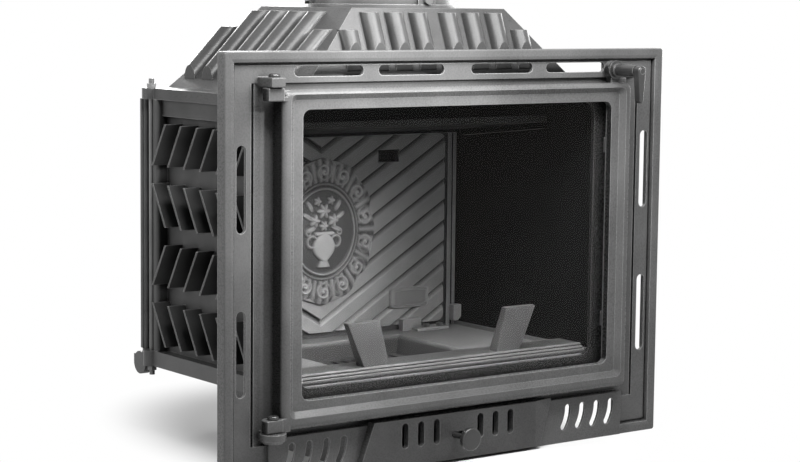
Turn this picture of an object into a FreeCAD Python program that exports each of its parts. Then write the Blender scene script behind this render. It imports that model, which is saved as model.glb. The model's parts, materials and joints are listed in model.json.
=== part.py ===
import FreeCAD, Part
import math
import os

Vec = FreeCAD.Vector

# A cast iron fireplace insert in millimetres: X to the right, Y from front to back, Z up.
# The origin is the point on the ground straight below the middle of the flue.

# Front frame
frame_width = 775.0
frame_height = 583.0
frame_depth = 18.0
frame_corner = 4.0
flue_setback = 188.0
rim_width = 10.0
rim_bevel = 4.5
rim_bevel_depth = 1.2
rim_draft = 1.0
recess_depth = 6.5
land_depth = 12.0
jamb_margin = 29.0
jamb_margin_top = 8.0
jamb_margin_low = 21.0
jamb_draft = 1.0
jamb_slope = 14.0
jamb_groove = 4.0
jamb_groove_depth = 5.0
panel_groove = 3.0
panel_groove_depth = 3.0
strip_half = 318.0
strip_height = 67.0
opening_lap = 48.0
opening_low = 126.0
opening_drop = 28.0
opening_radius = 18.0
edge_round = 2.0

# Convection slots in the frame
top_slot_length = 113.0
top_slot_width = 14.0
top_slot_drop = 27.0
top_slot_inner = 80.5
top_slot_outer = 219.0
side_slot_length = 116.0
side_slot_width = 15.0
side_slot_inset = 29.5
side_slot_heights = (183.0, 402.0)
slot_wall = 4.5
slot_pocket_margin = 4.0
strip_slot_first = 203.0
strip_slot_pitch = 28.5
strip_slot_count = 4
strip_slot_width = 10.5
strip_slot_low = 24.0
strip_slot_high = 52.0
strip_slot_lean = 8.0
strip_slot_bow = 2.0
strip_wall = 3.5
strip_hollow_margin = 12.0
strip_hollow_end = 25.0

# Door
door_width = 620.0
door_low = 78.0
door_top_drop = 50.0
door_proud = 20.0
door_seat = 4.0
door_radius = 10.0
door_edge_round = 9.0
band_side = 13.0
band_top = 6.0
band_low = 16.0
bevel_width = 8.0
bevel_depth = 7.0
bevel_radius = 9.0
flat_side = 15.0
flat_top = 13.0
flat_low = 13.0
sight_radius = 12.0
rebate_width = 8.0
glass_thickness = 4.0
gasket_thickness = 3.0
glass_clearance = 1.5
rope_inset = 3.0
rope_width = 8.0
rope_groove = 3.0
rope_round = 3.0
rope_gap = 0.4

# Glass clips on the back of the door
clip_length = 22.0
clip_width = 14.0
clip_thickness = 2.0
clip_screw_offset = 4.0
clip_screw_radius = 2.0
clip_screw_depth = 7.0
clip_head_radius = 3.2
clip_head_height = 2.2
clip_spread_x = 170.0
clip_spread_z = 130.0
screw_clearance = 0.05

# Hinge
hinge_offset = 11.0
hinge_proud = 15.0
pin_radius = 5.0
pin_fit = 0.08
pin_head_radius = 8.0
pin_head_height = 5.0
knuckle_radius = 15.5
knuckle_height = 18.0
knuckle_rise = 3.0
knuckle_proud = 3.0
hinge_gap = 0.5
lug_height = 13.0
lug_outer = 12.5
lug_inner = 9.0
lug_front = 14.0
lug_round = 1.5
lower_lug_radius = 18.0
lower_lug_root = 6.0

# Latch in an ear of the door, and its keeper on the frame
latch_inset = 26.0
latch_rise = 19.0
ear_round = 13.5
ear_proud = 8.0
ear_seat = 1.5
neck_left = 8.0
neck_right = 22.0
neck_rise = 7.0
spindle_radius = 8.5
spindle_fit = 0.1
spindle_end_radius = 4.5
washer_radius = 14.0
washer_thickness = 3.0
shoulder_radius = 10.5
shoulder_length = 4.0
latch_end_gap = 0.3
lever_reach = 54.0
lever_thickness = 13.0
lever_length = 47.0
lever_top_width = 15.0
lever_tip_width = 7.0
lever_round = 2.5
tongue_length = 18.0
tongue_width = 10.0
tongue_thickness = 3.2
tongue_gap = 0.4
keeper_gap = 0.8
keeper_hook = 8.0
keeper_length = 23.0
keeper_height = 16.0
keeper_proud = 4.0

# Ash drawer and its air slide
drawer_half = 142.0
drawer_low = 8.0
drawer_high = 63.0
drawer_front_low = 4.0
drawer_front_high = 72.0
drawer_front_width = 326.0
drawer_front_lean = 25.0
drawer_front_shift = -3.0
drawer_face_left = 145.0
drawer_face_right = 136.0
drawer_wing_left = 3.0
drawer_wing_right = 12.0
drawer_front_proud = 15.0
drawer_front_round = 2.0
drawer_gap = 0.4
shutter_pocket_half = 126.0
shutter_pocket_low = 12.0
shutter_pocket_high = 68.5
shutter_pocket_depth = 6.0
air_slot_middle = -6.5
air_slot_first = 39.3
air_slot_pitch = 27.7
air_slot_count = 3
air_slot_width = 11.5
air_slot_low = 30.0
air_slot_high = 66.0
air_travel = 13.5
shutter_thickness = 2.0
shutter_play = 0.3
guide_height = 3.0
stem_x = -14.0
stem_z = 40.0
stem_radius = 4.0
stem_play = 0.5
stem_reach = 46.0
knob_radius = 16.5
knob_thickness = 10.0
knob_round = 3.0
pan_end_gap = 31.4
pan_play = 4.0
pan_wall = 2.0
pan_lip = 20.0
pan_screw_x = 129.0
pan_screw_radius = 2.5
pan_screw_head = 4.0
pan_screw_head_height = 2.5
pan_screw_depth = 6.0

# Firebox
body_depth = 374.0
body_half = 292.0
wall_inset = 17.0
wall_thickness = 8.0
wall_height = 370.0
base_low = 111.0
base_height = 23.0
floor_thickness = 9.0
floor_drop = 6.0
base_wall = 30.0
hearth_wall = 27.0
wall_flange_reach = 8.0
wall_flange_depth = 10.0
top_border = 24.0
top_border_proud = 8.0
side_bead_depth = 16.0
bead_round = 5.0
fin_rows = 4
fin_columns = 6
fin_pitch = 44.0
fin_row_pitch = 87.3
fin_first_row = 44.0
fin_height = 61.0
fin_slant = 36.5
fin_proud = 28.0
fin_thickness = 6.0
fin_tip = 4.0
fin_last = 46.0
rear_fin_columns = 11
rear_fin_proud = 18.0
rear_wall_inset = 12.0
rod_inset = 4.0
rod_radius = 4.0
rod_clearance = 0.5
rod_front_offset = 28.0
rod_rear_inset = 30.0
rod_stand = 14.0
ear_radius = 13.0
corner_round = 12.0
nut_flats = 13.0
nut_height = 7.0
bolt_bite = 4.0
foot_width = 34.0
foot_thickness = 12.0

# Hood and flue collar
hood_flange = 16.0
hood_rise = 120.0
hood_top_thickness = 8.0
hood_top_half = 136.0
hood_top_half_depth = 115.0
hood_shell = 9.0
hood_foot_side = 39.0
hood_foot_front = 8.0
hood_foot_rear = 18.0
rib_radius = 14.5
rib_top_drop = 6.0
front_rib_first = 26.5
front_rib_pitch = 42.0
front_rib_count = 4
side_rib_first = -97.0
side_rib_pitch = 48.8
side_rib_count = 6
short_rib_drop = 30.0
rib_inset = 13.0
collar_inner = 100.25
collar_wall = 3.5
flue_ledge = 4.0
collar_height = 64.0
collar_foot = 5.0
collar_foot_width = 5.0
pad_width = 30.0
pad_height = 24.0
pad_proud = 4.0
collar_bolt_count = 3
collar_bolt_radius = 4.0
collar_bolt_flats = 13.0
collar_bolt_head = 6.0

# Inside the firebox
fireback_side_gap = 4.0
fireback_thickness = 10.0
field_margin = 24.0
field_low = 9.0
field_radius = 12.0
strip_inner_margin = 16.5
strip_inner_width = 7.5
strip_outer_width = 6.0
strip_set_back = 1.0
fireback_gap = 20.0
fireback_height = 312.0
fireback_boss_radius = 14.0
groove_pitch = 33.5
groove_angle = 31.0
groove_width = 12.0
groove_depth = 5.0
groove_bottom = 0.75
medallion_half_width = 95.0
medallion_half_height = 111.0
medallion_height = 167.0
medallion_proud = 4.0
medallion_rim = 9.0
air_hole_x = 127.5
air_hole_width = 41.0
air_hole_height = 20.0
air_hole_z = 279.0
stop_x = 168.0
stop_width = 35.0
stop_depth = 12.0
stop_height = 18.0
stop_foot = 62.0
stop_foot_depth = 28.0
stop_foot_height = 4.0
stop_bolt_offsets = (24.0, 50.0)
stop_bolt_back = 18.0
side_stop_width = 15.0
side_stop_low = 9.0
side_stop_high = 34.0
side_stop_chamfer = 6.0
stop_bolt_radius = 4.0
stop_bolt_flats = 10.0
stop_bolt_head = 5.0
baffle_side_gap = 12.0
baffle_front = 112.0
baffle_front_z = 470.0
baffle_rear_z = 446.0
baffle_rear_gap = 4.0
baffle_thickness = 10.0
ledge_width = 14.0
ledge_thickness = 10.0
funnel_half = 125.0
funnel_half_depth = 106.0
funnel_shift = 12.0
funnel_slope = 32.0
funnel_depth = 32.0
funnel_wall = 8.0
grate_ledge = 12.0
grate_ledge_thickness = 6.0
grate_thickness = 10.0
grate_play = 1.0
grate_bar_count = 9
grate_bar_width = 9.0
grate_border = 10.0
sill_depth = 12.0
sill_lip = 2.0
sill_rib_count = 3
sill_rib_radius = 2.7
sill_ledge_height = 6.0
guard_side_gap = 11.0
guard_depth = 45.0
guard_height = 8.0
horn_low = (97.0, 141.0)
horn_top = (114.0, 170.0)
horn_depth = (19.0, 11.0)
horn_height = 64.0
horn_round = 1.5

# Ash box under the firebox
ash_box_half = 165.0
ash_box_length = 344.0
ash_box_wall = 5.0
runner_x = 106.0
runner_width = 12.0

# Values that follow from the driving dimensions
front_y = -flue_setback
recess_y = front_y + recess_depth
land_y = front_y + land_depth
frame_back_y = front_y + frame_depth
frame_half = frame_width / 2
wall_outer = body_half - wall_inset
wall_inner = wall_outer - wall_thickness
wall_flange_half = body_half + wall_flange_reach
rod_x = body_half - rod_inset
fireback_half = wall_inner - fireback_side_gap
baffle_half = wall_inner - baffle_side_gap
guard_half = wall_inner - guard_side_gap
door_half = door_width / 2
door_high = frame_height - door_top_drop
opening_half = door_half - opening_lap
opening_high = door_high - opening_drop
door_front_y = front_y - door_proud
door_back_y = front_y + door_seat
jamb_half = door_half + jamb_margin
jamb_high = door_high + jamb_margin_top
jamb_low = door_low - jamb_margin_low
sight_half = door_half - band_side - bevel_width - flat_side
sight_low = door_low + band_low + bevel_width + flat_low
sight_high = door_high - band_top - bevel_width - flat_top
rebate_half = sight_half + rebate_width
rebate_low = sight_low - rebate_width
rebate_high = sight_high + rebate_width
glass_front_y = door_back_y - glass_thickness
gasket_front_y = glass_front_y - gasket_thickness
hinge_x = -door_half - hinge_offset
hinge_y = front_y - hinge_proud
upper_knuckle_high = door_high + knuckle_rise
upper_knuckle_low = upper_knuckle_high - knuckle_height
lower_knuckle_high = door_low + knuckle_height
latch_x = door_half - latch_inset
latch_z = door_high + latch_rise
ear_front_y = front_y - ear_proud
ear_back_y = front_y + ear_seat
upper_lug_low = upper_knuckle_high + hinge_gap
lower_lug_high = door_low - hinge_gap
body_back_y = frame_back_y + body_depth
rear_outer_y = body_back_y - rear_wall_inset
rear_inner_y = rear_outer_y - wall_thickness
rod_front_y = frame_back_y + rod_front_offset
rod_rear_y = body_back_y - rod_rear_inset
side_bead_back_y = rod_rear_y - 2 * rod_radius
side_bead_front_y = side_bead_back_y - side_bead_depth
base_high = base_low + base_height
floor_top = base_high - floor_drop
floor_low = floor_top - floor_thickness
wall_high = base_high + wall_height
hood_eave = wall_high + hood_flange
hood_top = hood_eave + hood_rise
hood_shoulder = hood_top - hood_top_thickness
hood_foot_half = body_half - hood_foot_side
hood_foot_front_y = frame_back_y + hood_foot_front
hood_foot_rear_y = body_back_y - hood_foot_rear
fireback_back_y = rear_inner_y - fireback_gap
fireback_front_y = fireback_back_y - fireback_thickness
drawer_back_y = front_y - drawer_gap
drawer_front_y = front_y - drawer_front_proud
shutter_pocket_y = drawer_back_y - shutter_pocket_depth
pan_back_y = frame_back_y + ash_box_length - ash_box_wall - pan_end_gap
shutter_front_y = shutter_pocket_y + shutter_play
grate_y = funnel_shift


def box(x0, x1, y0, y1, z0, z1):
    return Part.makeBox(x1 - x0, y1 - y0, z1 - z0, Vec(x0, y0, z0))


def upright(x, y, z0, z1, radius):
    return Part.makeCylinder(radius, z1 - z0, Vec(x, y, z0))


def along_y(x, z, y0, y1, radius):
    return Part.makeCylinder(radius, y1 - y0, Vec(x, y0, z), Vec(0, 1, 0))


def hexagon_bar(start, direction, across_flats, length):
    """Six-sided bar for nuts and bolt heads, from a point along a direction."""
    reach = across_flats / math.sqrt(3)
    corners = [Vec(reach * math.cos(math.radians(60 * k)), reach * math.sin(math.radians(60 * k)), 0)
               for k in range(7)]
    bar = Part.Face(Part.makePolygon(corners)).extrude(Vec(0, 0, length))
    bar.Placement = FreeCAD.Placement(start, FreeCAD.Rotation(Vec(0, 0, 1), direction))
    return bar


def rounded_rect(x0, x1, z0, z1, radius, y):
    """Closed outline in an upright plane, with round corners."""
    turn = radius * (1 - math.sqrt(0.5))
    def at(x, z):
        return Vec(x, y, z)
    curves = [
        Part.LineSegment(at(x0 + radius, z0), at(x1 - radius, z0)),
        Part.Arc(at(x1 - radius, z0), at(x1 - turn, z0 + turn), at(x1, z0 + radius)),
        Part.LineSegment(at(x1, z0 + radius), at(x1, z1 - radius)),
        Part.Arc(at(x1, z1 - radius), at(x1 - turn, z1 - turn), at(x1 - radius, z1)),
        Part.LineSegment(at(x1 - radius, z1), at(x0 + radius, z1)),
        Part.Arc(at(x0 + radius, z1), at(x0 + turn, z1 - turn), at(x0, z1 - radius)),
        Part.LineSegment(at(x0, z1 - radius), at(x0, z0 + radius)),
        Part.Arc(at(x0, z0 + radius), at(x0 + turn, z0 + turn), at(x0 + radius, z0)),
    ]
    return Part.Wire([curve.toShape() for curve in curves])


def rounded_slab(x0, x1, z0, z1, radius, y0, y1):
    return Part.Face(rounded_rect(x0, x1, z0, z1, radius, y0)).extrude(Vec(0, y1 - y0, 0))


def rectangle_at_height(half_x, y0, y1, z):
    corners = [Vec(-half_x, y0, z), Vec(half_x, y0, z), Vec(half_x, y1, z), Vec(-half_x, y1, z)]
    return Part.makePolygon(corners + corners[:1])


def upright_rectangle(half_x, z0, z1, y):
    corners = [Vec(-half_x, y, z0), Vec(half_x, y, z0), Vec(half_x, y, z1), Vec(-half_x, y, z1)]
    return Part.makePolygon(corners + corners[:1])


def loft(*outlines):
    return Part.makeLoft(list(outlines), True, True)


def plate_xz(points, y0, y1):
    """Plate of uniform thickness cut to an outline seen from the front."""
    corners = [Vec(x, y0, z) for x, z in points]
    return Part.Face(Part.makePolygon(corners + corners[:1])).extrude(Vec(0, y1 - y0, 0))


def bar_yz(points, x0, x1):
    """Bar of uniform section along X, with its section seen from the side."""
    corners = [Vec(x0, y, z) for y, z in points]
    return Part.Face(Part.makePolygon(corners + corners[:1])).extrude(Vec(x1 - x0, 0, 0))


def round_slot(low, high, bow, width, y0, y1):
    """Slot with round ends between two end centres, bent sideways by bow."""
    span = Vec(high[0] - low[0], 0, high[1] - low[1])
    side = Vec(span.z, 0, -span.x).normalize()
    start = Vec(low[0], y0, low[1])
    end = Vec(high[0], y0, high[1])
    middle = (start + end) * 0.5 + side * bow
    along = Vec(span).normalize()
    half = side * (width / 2)
    if bow == 0:
        outer = Part.LineSegment(start + half, end + half)
        inner = Part.LineSegment(end - half, start - half)
    else:
        outer = Part.Arc(start + half, middle + half, end + half)
        inner = Part.Arc(end - half, middle - half, start - half)
    caps = [Part.Arc(end + half, end + along * (width / 2), end - half),
            Part.Arc(start - half, start - along * (width / 2), start + half)]
    outline = Part.Wire([curve.toShape() for curve in (outer, caps[0], inner, caps[1])])
    return Part.Face(outline).extrude(Vec(0, y1 - y0, 0))


def mirrored(shape):
    return shape.mirror(Vec(0, 0, 0), Vec(1, 0, 0))


def edges_at_y(shape, y):
    """Edges that lie wholly in one upright plane."""
    return [edge for edge in shape.Edges
            if abs(edge.BoundBox.YMin - y) < 0.001 and abs(edge.BoundBox.YMax - y) < 0.001]


def hinge_lugs():
    """Blocks of the frame that hold the hinge pins: a square one above and a round-fronted one below."""
    rear = frame_back_y - edge_round
    front = hinge_y - lug_front
    z0 = upper_lug_low
    upper = box(hinge_x - lug_outer, hinge_x + lug_inner, front, rear, z0, z0 + lug_height)
    near = [edge for edge in upper.Edges if edge.BoundBox.YMin < front + lug_round]
    upper = upper.makeFillet(lug_round, near)
    z0 = lower_lug_high - lug_height
    lower = box(hinge_x - lower_lug_root, hinge_x + lower_lug_radius, hinge_y, rear, z0, lower_lug_high)
    lower = lower.fuse(upright(hinge_x, hinge_y, z0, lower_lug_high, lower_lug_radius)).removeSplitter()
    foot = [edge for edge in lower.Edges if edge.BoundBox.ZMax < z0 + 0.001 and edge.BoundBox.YMax < rear - 1]
    return [upper, lower.makeChamfer(lug_height / 3, foot)]


def front_frame():
    slab = rounded_slab(-frame_half, frame_half, 0, frame_height, frame_corner, front_y, frame_back_y)
    slab = slab.makeFillet(edge_round, edges_at_y(slab, front_y))
    inset = rim_width + rim_bevel
    floor = inset + rim_draft
    bevel_y = front_y + rim_bevel_depth
    bevel = loft(upright_rectangle(frame_half - rim_width, rim_width, frame_height - rim_width, front_y),
                 upright_rectangle(frame_half - inset, inset, frame_height - inset, bevel_y))
    recess = loft(upright_rectangle(frame_half - inset, inset, frame_height - inset, bevel_y),
                  upright_rectangle(frame_half - floor, floor, frame_height - floor, recess_y))
    jamb = loft(upright_rectangle(jamb_half, jamb_low, jamb_high, recess_y),
                upright_rectangle(jamb_half - jamb_slope, jamb_low + jamb_draft, jamb_high - jamb_draft, land_y))
    side_groove = box(jamb_half, jamb_half + jamb_groove, recess_y, recess_y + jamb_groove_depth,
                      jamb_low, jamb_high)
    panel_half = frame_half - floor
    groove_y = recess_y + panel_groove_depth
    inner = floor + panel_groove
    rim_groove = box(-panel_half, panel_half, recess_y, groove_y, floor, frame_height - floor)
    rim_groove = rim_groove.cut(box(inner - frame_half, frame_half - inner, recess_y, groove_y,
                                    inner, frame_height - inner))
    strip = box(-strip_half, strip_half, front_y, frame_back_y, 0, strip_height)
    strip = strip.makeFillet(edge_round, [edge for edge in edges_at_y(strip, front_y)
                                          if edge.BoundBox.ZMax > strip_height / 4])
    frame = slab.cut(bevel).cut(recess).cut([jamb, side_groove, mirrored(side_groove), rim_groove])
    frame = frame.fuse([strip] + hinge_lugs())
    cuts = [rounded_slab(-opening_half, opening_half, opening_low, opening_high, opening_radius,
                         front_y, frame_back_y),
            box(-drawer_half, drawer_half, front_y, frame_back_y, drawer_low, drawer_high)]
    for x, z in frame_bolt_places():
        for side in (-1, 1):
            cuts.append(along_y(side * x, z, frame_back_y - bolt_bite, frame_back_y, rod_radius))
    slot_z = frame_height - top_slot_drop
    reach = (top_slot_length - top_slot_width) / 2
    pocket_y = recess_y + slot_wall
    across = top_slot_width / 2 + slot_pocket_margin
    along = top_slot_length / 2 + slot_pocket_margin
    for x in (-top_slot_outer, -top_slot_inner, top_slot_inner, top_slot_outer):
        cuts.append(round_slot((x - reach, slot_z), (x + reach, slot_z), 0, top_slot_width,
                               front_y, frame_back_y))
        cuts.append(box(x - along, x + along, pocket_y, frame_back_y, slot_z - across, slot_z + across))
    slot_x = frame_half - side_slot_inset
    reach = (side_slot_length - side_slot_width) / 2
    across = side_slot_width / 2 + slot_pocket_margin
    along = side_slot_length / 2 + slot_pocket_margin
    for x in (-slot_x, slot_x):
        for z in side_slot_heights:
            cuts.append(round_slot((x, z - reach), (x, z + reach), 0, side_slot_width,
                                   front_y, frame_back_y))
            cuts.append(box(x - across, x + across, pocket_y, frame_back_y, z - along, z + along))
    for side in (-1, 1):
        for k in range(strip_slot_count):
            x = side * (strip_slot_first + k * strip_slot_pitch)
            cuts.append(round_slot((x, strip_slot_low), (x + strip_slot_lean, strip_slot_high),
                                   strip_slot_bow, strip_slot_width, front_y, frame_back_y))
        inner = strip_slot_first - strip_hollow_end
        outer = strip_slot_first + (strip_slot_count - 1) * strip_slot_pitch + strip_hollow_end
        x0, x1 = sorted((side * inner, side * outer))
        cuts.append(box(x0, x1, front_y + strip_wall, frame_back_y, strip_slot_low - strip_hollow_margin,
                        strip_slot_high + strip_hollow_margin))
    for z0 in (upper_lug_low, lower_lug_high - lug_height):
        cuts.append(upright(hinge_x, hinge_y, z0, z0 + lug_height, pin_radius + pin_fit))
    return frame.cut(cuts).removeSplitter()


def hinge_pin(head_z, foot_z):
    """Round pin with a domed head that rests on top of its knuckle or lug."""
    head = Part.makeCylinder(pin_head_radius, pin_head_height, Vec(hinge_x, hinge_y, head_z))
    rim = [edge for edge in head.Edges if edge.BoundBox.ZMin > head_z + pin_head_height / 2]
    head = head.makeFillet(pin_head_height * 0.7, rim)
    return head.fuse(upright(hinge_x, hinge_y, foot_z, head_z, pin_radius)).removeSplitter()


def hinge_pins():
    upper = hinge_pin(upper_lug_low + lug_height, upper_knuckle_low)
    lower = hinge_pin(lower_knuckle_high + hinge_gap, lower_lug_high - lug_height)
    return Part.makeCompound([upper, lower])


def door_frame():
    block = rounded_slab(-door_half, door_half, door_low, door_high, door_radius, door_front_y, door_back_y)
    block = block.makeFillet(door_edge_round, edges_at_y(block, door_front_y))
    bevel_y = door_front_y + bevel_depth
    bevel = loft(rounded_rect(-door_half + band_side, door_half - band_side, door_low + band_low,
                              door_high - band_top, bevel_radius, door_front_y),
                 rounded_rect(-door_half + band_side + bevel_width, door_half - band_side - bevel_width,
                              door_low + band_low + bevel_width, door_high - band_top - bevel_width,
                              bevel_radius / 2, bevel_y))
    sight = rounded_slab(-sight_half, sight_half, sight_low, sight_high, sight_radius, bevel_y, door_back_y)
    rebate = rounded_slab(-rebate_half, rebate_half, rebate_low, rebate_high, sight_radius,
                          gasket_front_y, door_back_y)
    groove = rope_ring()
    ear = along_y(latch_x, latch_z, ear_front_y, ear_back_y, ear_round)
    neck = box(latch_x - neck_left, latch_x + neck_right, ear_front_y, ear_back_y,
               door_high - door_radius, door_high + neck_rise)
    knuckles = []
    for z0, z1 in ((upper_knuckle_low, upper_knuckle_high), (door_low, lower_knuckle_high)):
        bridge_back = hinge_y + knuckle_radius * 0.6
        bridge = box(hinge_x, -door_half + band_side, door_front_y, bridge_back,
                     z0, min(z1, door_high - door_edge_round))
        bridge = bridge.fuse(box(hinge_x, -door_half + band_side, door_front_y + door_edge_round / 2, bridge_back,
                                 z0, min(z1, door_high) - 1))
        eye = upright(hinge_x, hinge_y, z0, z1, knuckle_radius)
        face = box(hinge_x - knuckle_radius, -door_half, door_front_y - knuckle_proud,
                   hinge_y + knuckle_radius, z0, z1)
        eye = eye.common(face)
        eye = eye.makeFillet(edge_round, [edge for edge in eye.Edges if edge.BoundBox.ZLength < 0.001])
        knuckles.append(eye.fuse(bridge))
    bores = [upright(hinge_x, hinge_y, z0, z1, pin_radius + pin_fit)
             for z0, z1 in ((upper_knuckle_low, upper_knuckle_high), (door_low, lower_knuckle_high))]
    holes = [along_y(x, z, door_back_y - clip_screw_depth, door_back_y, clip_screw_radius + screw_clearance)
             for x, z, turned in clip_places()]
    bores.append(along_y(latch_x, latch_z, ear_front_y, ear_back_y, spindle_radius + spindle_fit))
    frame = block.fuse([ear, neck]).cut([bevel, sight, rebate, groove]).fuse(knuckles)
    return frame.cut(bores + holes).removeSplitter()


def rope_ring():
    """Ring-shaped channel near the door's edge, as deep as the sealing rope in it is thick."""
    outer = rope_inset
    inner = rope_inset + rope_width
    radius = door_radius - rope_inset
    y0 = door_back_y - rope_groove
    y1 = land_y - rope_gap
    ring = rounded_slab(-door_half + outer, door_half - outer, door_low + outer, door_high - outer,
                        radius, y0, y1)
    return ring.cut(rounded_slab(-door_half + inner, door_half - inner, door_low + inner, door_high - inner,
                                 radius, y0, y1))


def door_rope():
    ring = rope_ring()
    return ring.makeFillet(rope_round, edges_at_y(ring, land_y - rope_gap))


def glass_gasket():
    outer = rounded_slab(-rebate_half + glass_clearance, rebate_half - glass_clearance,
                         rebate_low + glass_clearance, rebate_high - glass_clearance, sight_radius,
                         gasket_front_y, glass_front_y)
    inner = rounded_slab(-sight_half, sight_half, sight_low, sight_high, sight_radius,
                         gasket_front_y, glass_front_y)
    return outer.cut(inner)


def door_glass():
    return rounded_slab(-rebate_half + glass_clearance, rebate_half - glass_clearance,
                        rebate_low + glass_clearance, rebate_high - glass_clearance, sight_radius,
                        glass_front_y, door_back_y)


def clip_places():
    """Screw places of the glass clips: x, z and whether the clip lies along an upright side."""
    centre = (sight_low + sight_high) / 2
    places = []
    for sign in (-1, 1):
        for side in (-1, 1):
            places.append((sign * clip_spread_x, rebate_high + clip_screw_offset if side > 0
                           else rebate_low - clip_screw_offset, False))
            places.append((side * (rebate_half + clip_screw_offset), centre + sign * clip_spread_z, True))
    return places


def glass_clips():
    """Flat clips, screwed beside the glass and reaching over its edge."""
    clips = []
    y0 = door_back_y
    y1 = door_back_y + clip_thickness
    for x, z, turned in clip_places():
        if turned:
            inward = -math.copysign(1, x)
            x0, x1 = sorted((x - inward * clip_screw_offset * 0.9,
                             x + inward * (clip_width - clip_screw_offset)))
            clip = box(x0, x1, y0, y1, z - clip_length / 2, z + clip_length / 2)
        else:
            inward = -1 if z > sight_high else 1
            z0, z1 = sorted((z - inward * clip_screw_offset * 0.9,
                             z + inward * (clip_width - clip_screw_offset)))
            clip = box(x - clip_length / 2, x + clip_length / 2, y0, y1, z0, z1)
        clips.append(clip.cut(along_y(x, z, y0, y1, clip_screw_radius + screw_clearance)))
    return Part.makeCompound(clips)


def clip_screws():
    screws = []
    for x, z, turned in clip_places():
        head_y = door_back_y + clip_thickness
        screw = along_y(x, z, head_y, head_y + clip_head_height, clip_head_radius)
        screws.append(screw.fuse(along_y(x, z, door_back_y - clip_screw_depth, head_y, clip_screw_radius)))
    return Part.makeCompound([screw.removeSplitter() for screw in screws])


def latch_washer():
    y0 = ear_front_y - washer_thickness
    ring = along_y(latch_x, latch_z, y0, ear_front_y, washer_radius)
    return ring.cut(along_y(latch_x, latch_z, y0, ear_front_y, spindle_radius + spindle_fit))


def latch_spindle():
    """Turning rod through the door's ear, stepped down where the lever sits on it."""
    lever_back = front_y - lever_reach
    tongue_back = ear_back_y + tongue_gap + tongue_thickness
    shoulder_back = ear_front_y - washer_thickness - latch_end_gap
    rod = along_y(latch_x, latch_z, lever_back, tongue_back, spindle_radius)
    end = along_y(latch_x, latch_z, lever_back - lever_thickness, lever_back, spindle_end_radius)
    shoulder = along_y(latch_x, latch_z, shoulder_back - shoulder_length, shoulder_back, shoulder_radius)
    return rod.fuse([end, shoulder]).removeSplitter()


def latch_lever():
    """Tapered lever that hangs from the front end of the spindle."""
    y1 = front_y - lever_reach
    y0 = y1 - lever_thickness
    top = lever_top_width / 2
    tip = lever_tip_width / 2
    low = latch_z - lever_length + tip
    points = [(latch_x - top, latch_z), (latch_x - tip, low), (latch_x + tip, low), (latch_x + top, latch_z)]
    lever = plate_xz(points, y0, y1)
    ends = [along_y(latch_x, latch_z, y0, y1, top), along_y(latch_x, low, y0, y1, tip)]
    lever = lever.fuse(ends).removeSplitter()
    lever = lever.makeFillet(lever_round, edges_at_y(lever, y0) + edges_at_y(lever, y1))
    return lever.cut(along_y(latch_x, latch_z, y0, y1, spindle_end_radius))


def latch_tongue():
    """Finger on the back end of the spindle that turns in behind the keeper's hook."""
    y0 = ear_back_y + tongue_gap
    y1 = y0 + tongue_thickness
    half = tongue_width / 2
    reach = latch_z - tongue_length + half
    hub = along_y(latch_x, latch_z, y0, y1, shoulder_radius)
    finger = box(latch_x - half, latch_x + half, y0, y1, reach, latch_z)
    tongue = hub.fuse([finger, along_y(latch_x, reach, y0, y1, half)])
    return tongue.cut(along_y(latch_x, latch_z, y0, y1, spindle_radius)).removeSplitter()


def latch_keeper():
    """Hook on the frame beside the door's ear; the tongue turns in behind it."""
    x0 = latch_x + ear_round + keeper_gap
    x1 = x0 + keeper_length
    z0 = latch_z - keeper_height / 2
    block = box(x0, x1, front_y - keeper_proud, recess_y, z0, z0 + keeper_height)
    block = block.makeFillet(edge_round, edges_at_y(block, front_y - keeper_proud))
    return block.cut(box(x0, x0 + keeper_hook, ear_back_y, recess_y, z0, z0 + keeper_height))


def drawer_block():
    """Leaning plate of the drawer's front, with a wing that falls back at each end of its face."""
    half = drawer_front_width / 2
    low = drawer_front_low
    high = drawer_front_high
    lean = drawer_front_lean / 2
    x = drawer_front_shift
    outline = [(x - half - lean, low), (x + half - lean, low),
               (x + half + lean, high), (x - half + lean, high)]
    plate = plate_xz(outline, drawer_front_y, drawer_back_y)
    end = half + drawer_front_lean
    wings = []
    for start, stop, fall in ((-drawer_face_left, -end, drawer_wing_left),
                              (drawer_face_right, end, drawer_wing_right)):
        corners = [Vec(start, drawer_front_y, low), Vec(stop, drawer_front_y, low),
                   Vec(stop, drawer_front_y + fall, low), Vec(start, drawer_front_y, low)]
        wings.append(Part.Face(Part.makePolygon(corners)).extrude(Vec(0, 0, high - low)))
    plate = plate.cut(wings)
    rim = [edge for edge in edges_at_y(plate, drawer_front_y) if edge.BoundBox.XLength > half]
    return plate.makeFillet(drawer_front_round, rim)


def air_slots(y0, y1, height_margin):
    slots = []
    reach = air_slot_width / 2
    for side in (-1, 1):
        for k in range(air_slot_count):
            x = air_slot_middle + side * (air_slot_first + k * air_slot_pitch)
            slots.append(round_slot((x, air_slot_low + reach - height_margin),
                                    (x, air_slot_high - reach + height_margin), 0, air_slot_width, y0, y1))
    return slots


def drawer_front():
    plate = drawer_block()
    pocket = box(-shutter_pocket_half, shutter_pocket_half, shutter_pocket_y, drawer_back_y,
                 shutter_pocket_low, shutter_pocket_high)
    reach = stem_radius + stem_play
    stem_slot = round_slot((stem_x, stem_z), (stem_x + air_travel, stem_z), 0, 2 * reach,
                           drawer_front_y, drawer_back_y)
    screw_holes = [along_y(x, z, drawer_back_y - pan_screw_depth, drawer_back_y,
                           pan_screw_radius + screw_clearance) for x, z in pan_screw_places()]
    cuts = [pocket, stem_slot] + air_slots(drawer_front_y, drawer_back_y, 0) + screw_holes
    return plate.cut(cuts).removeSplitter()


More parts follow.
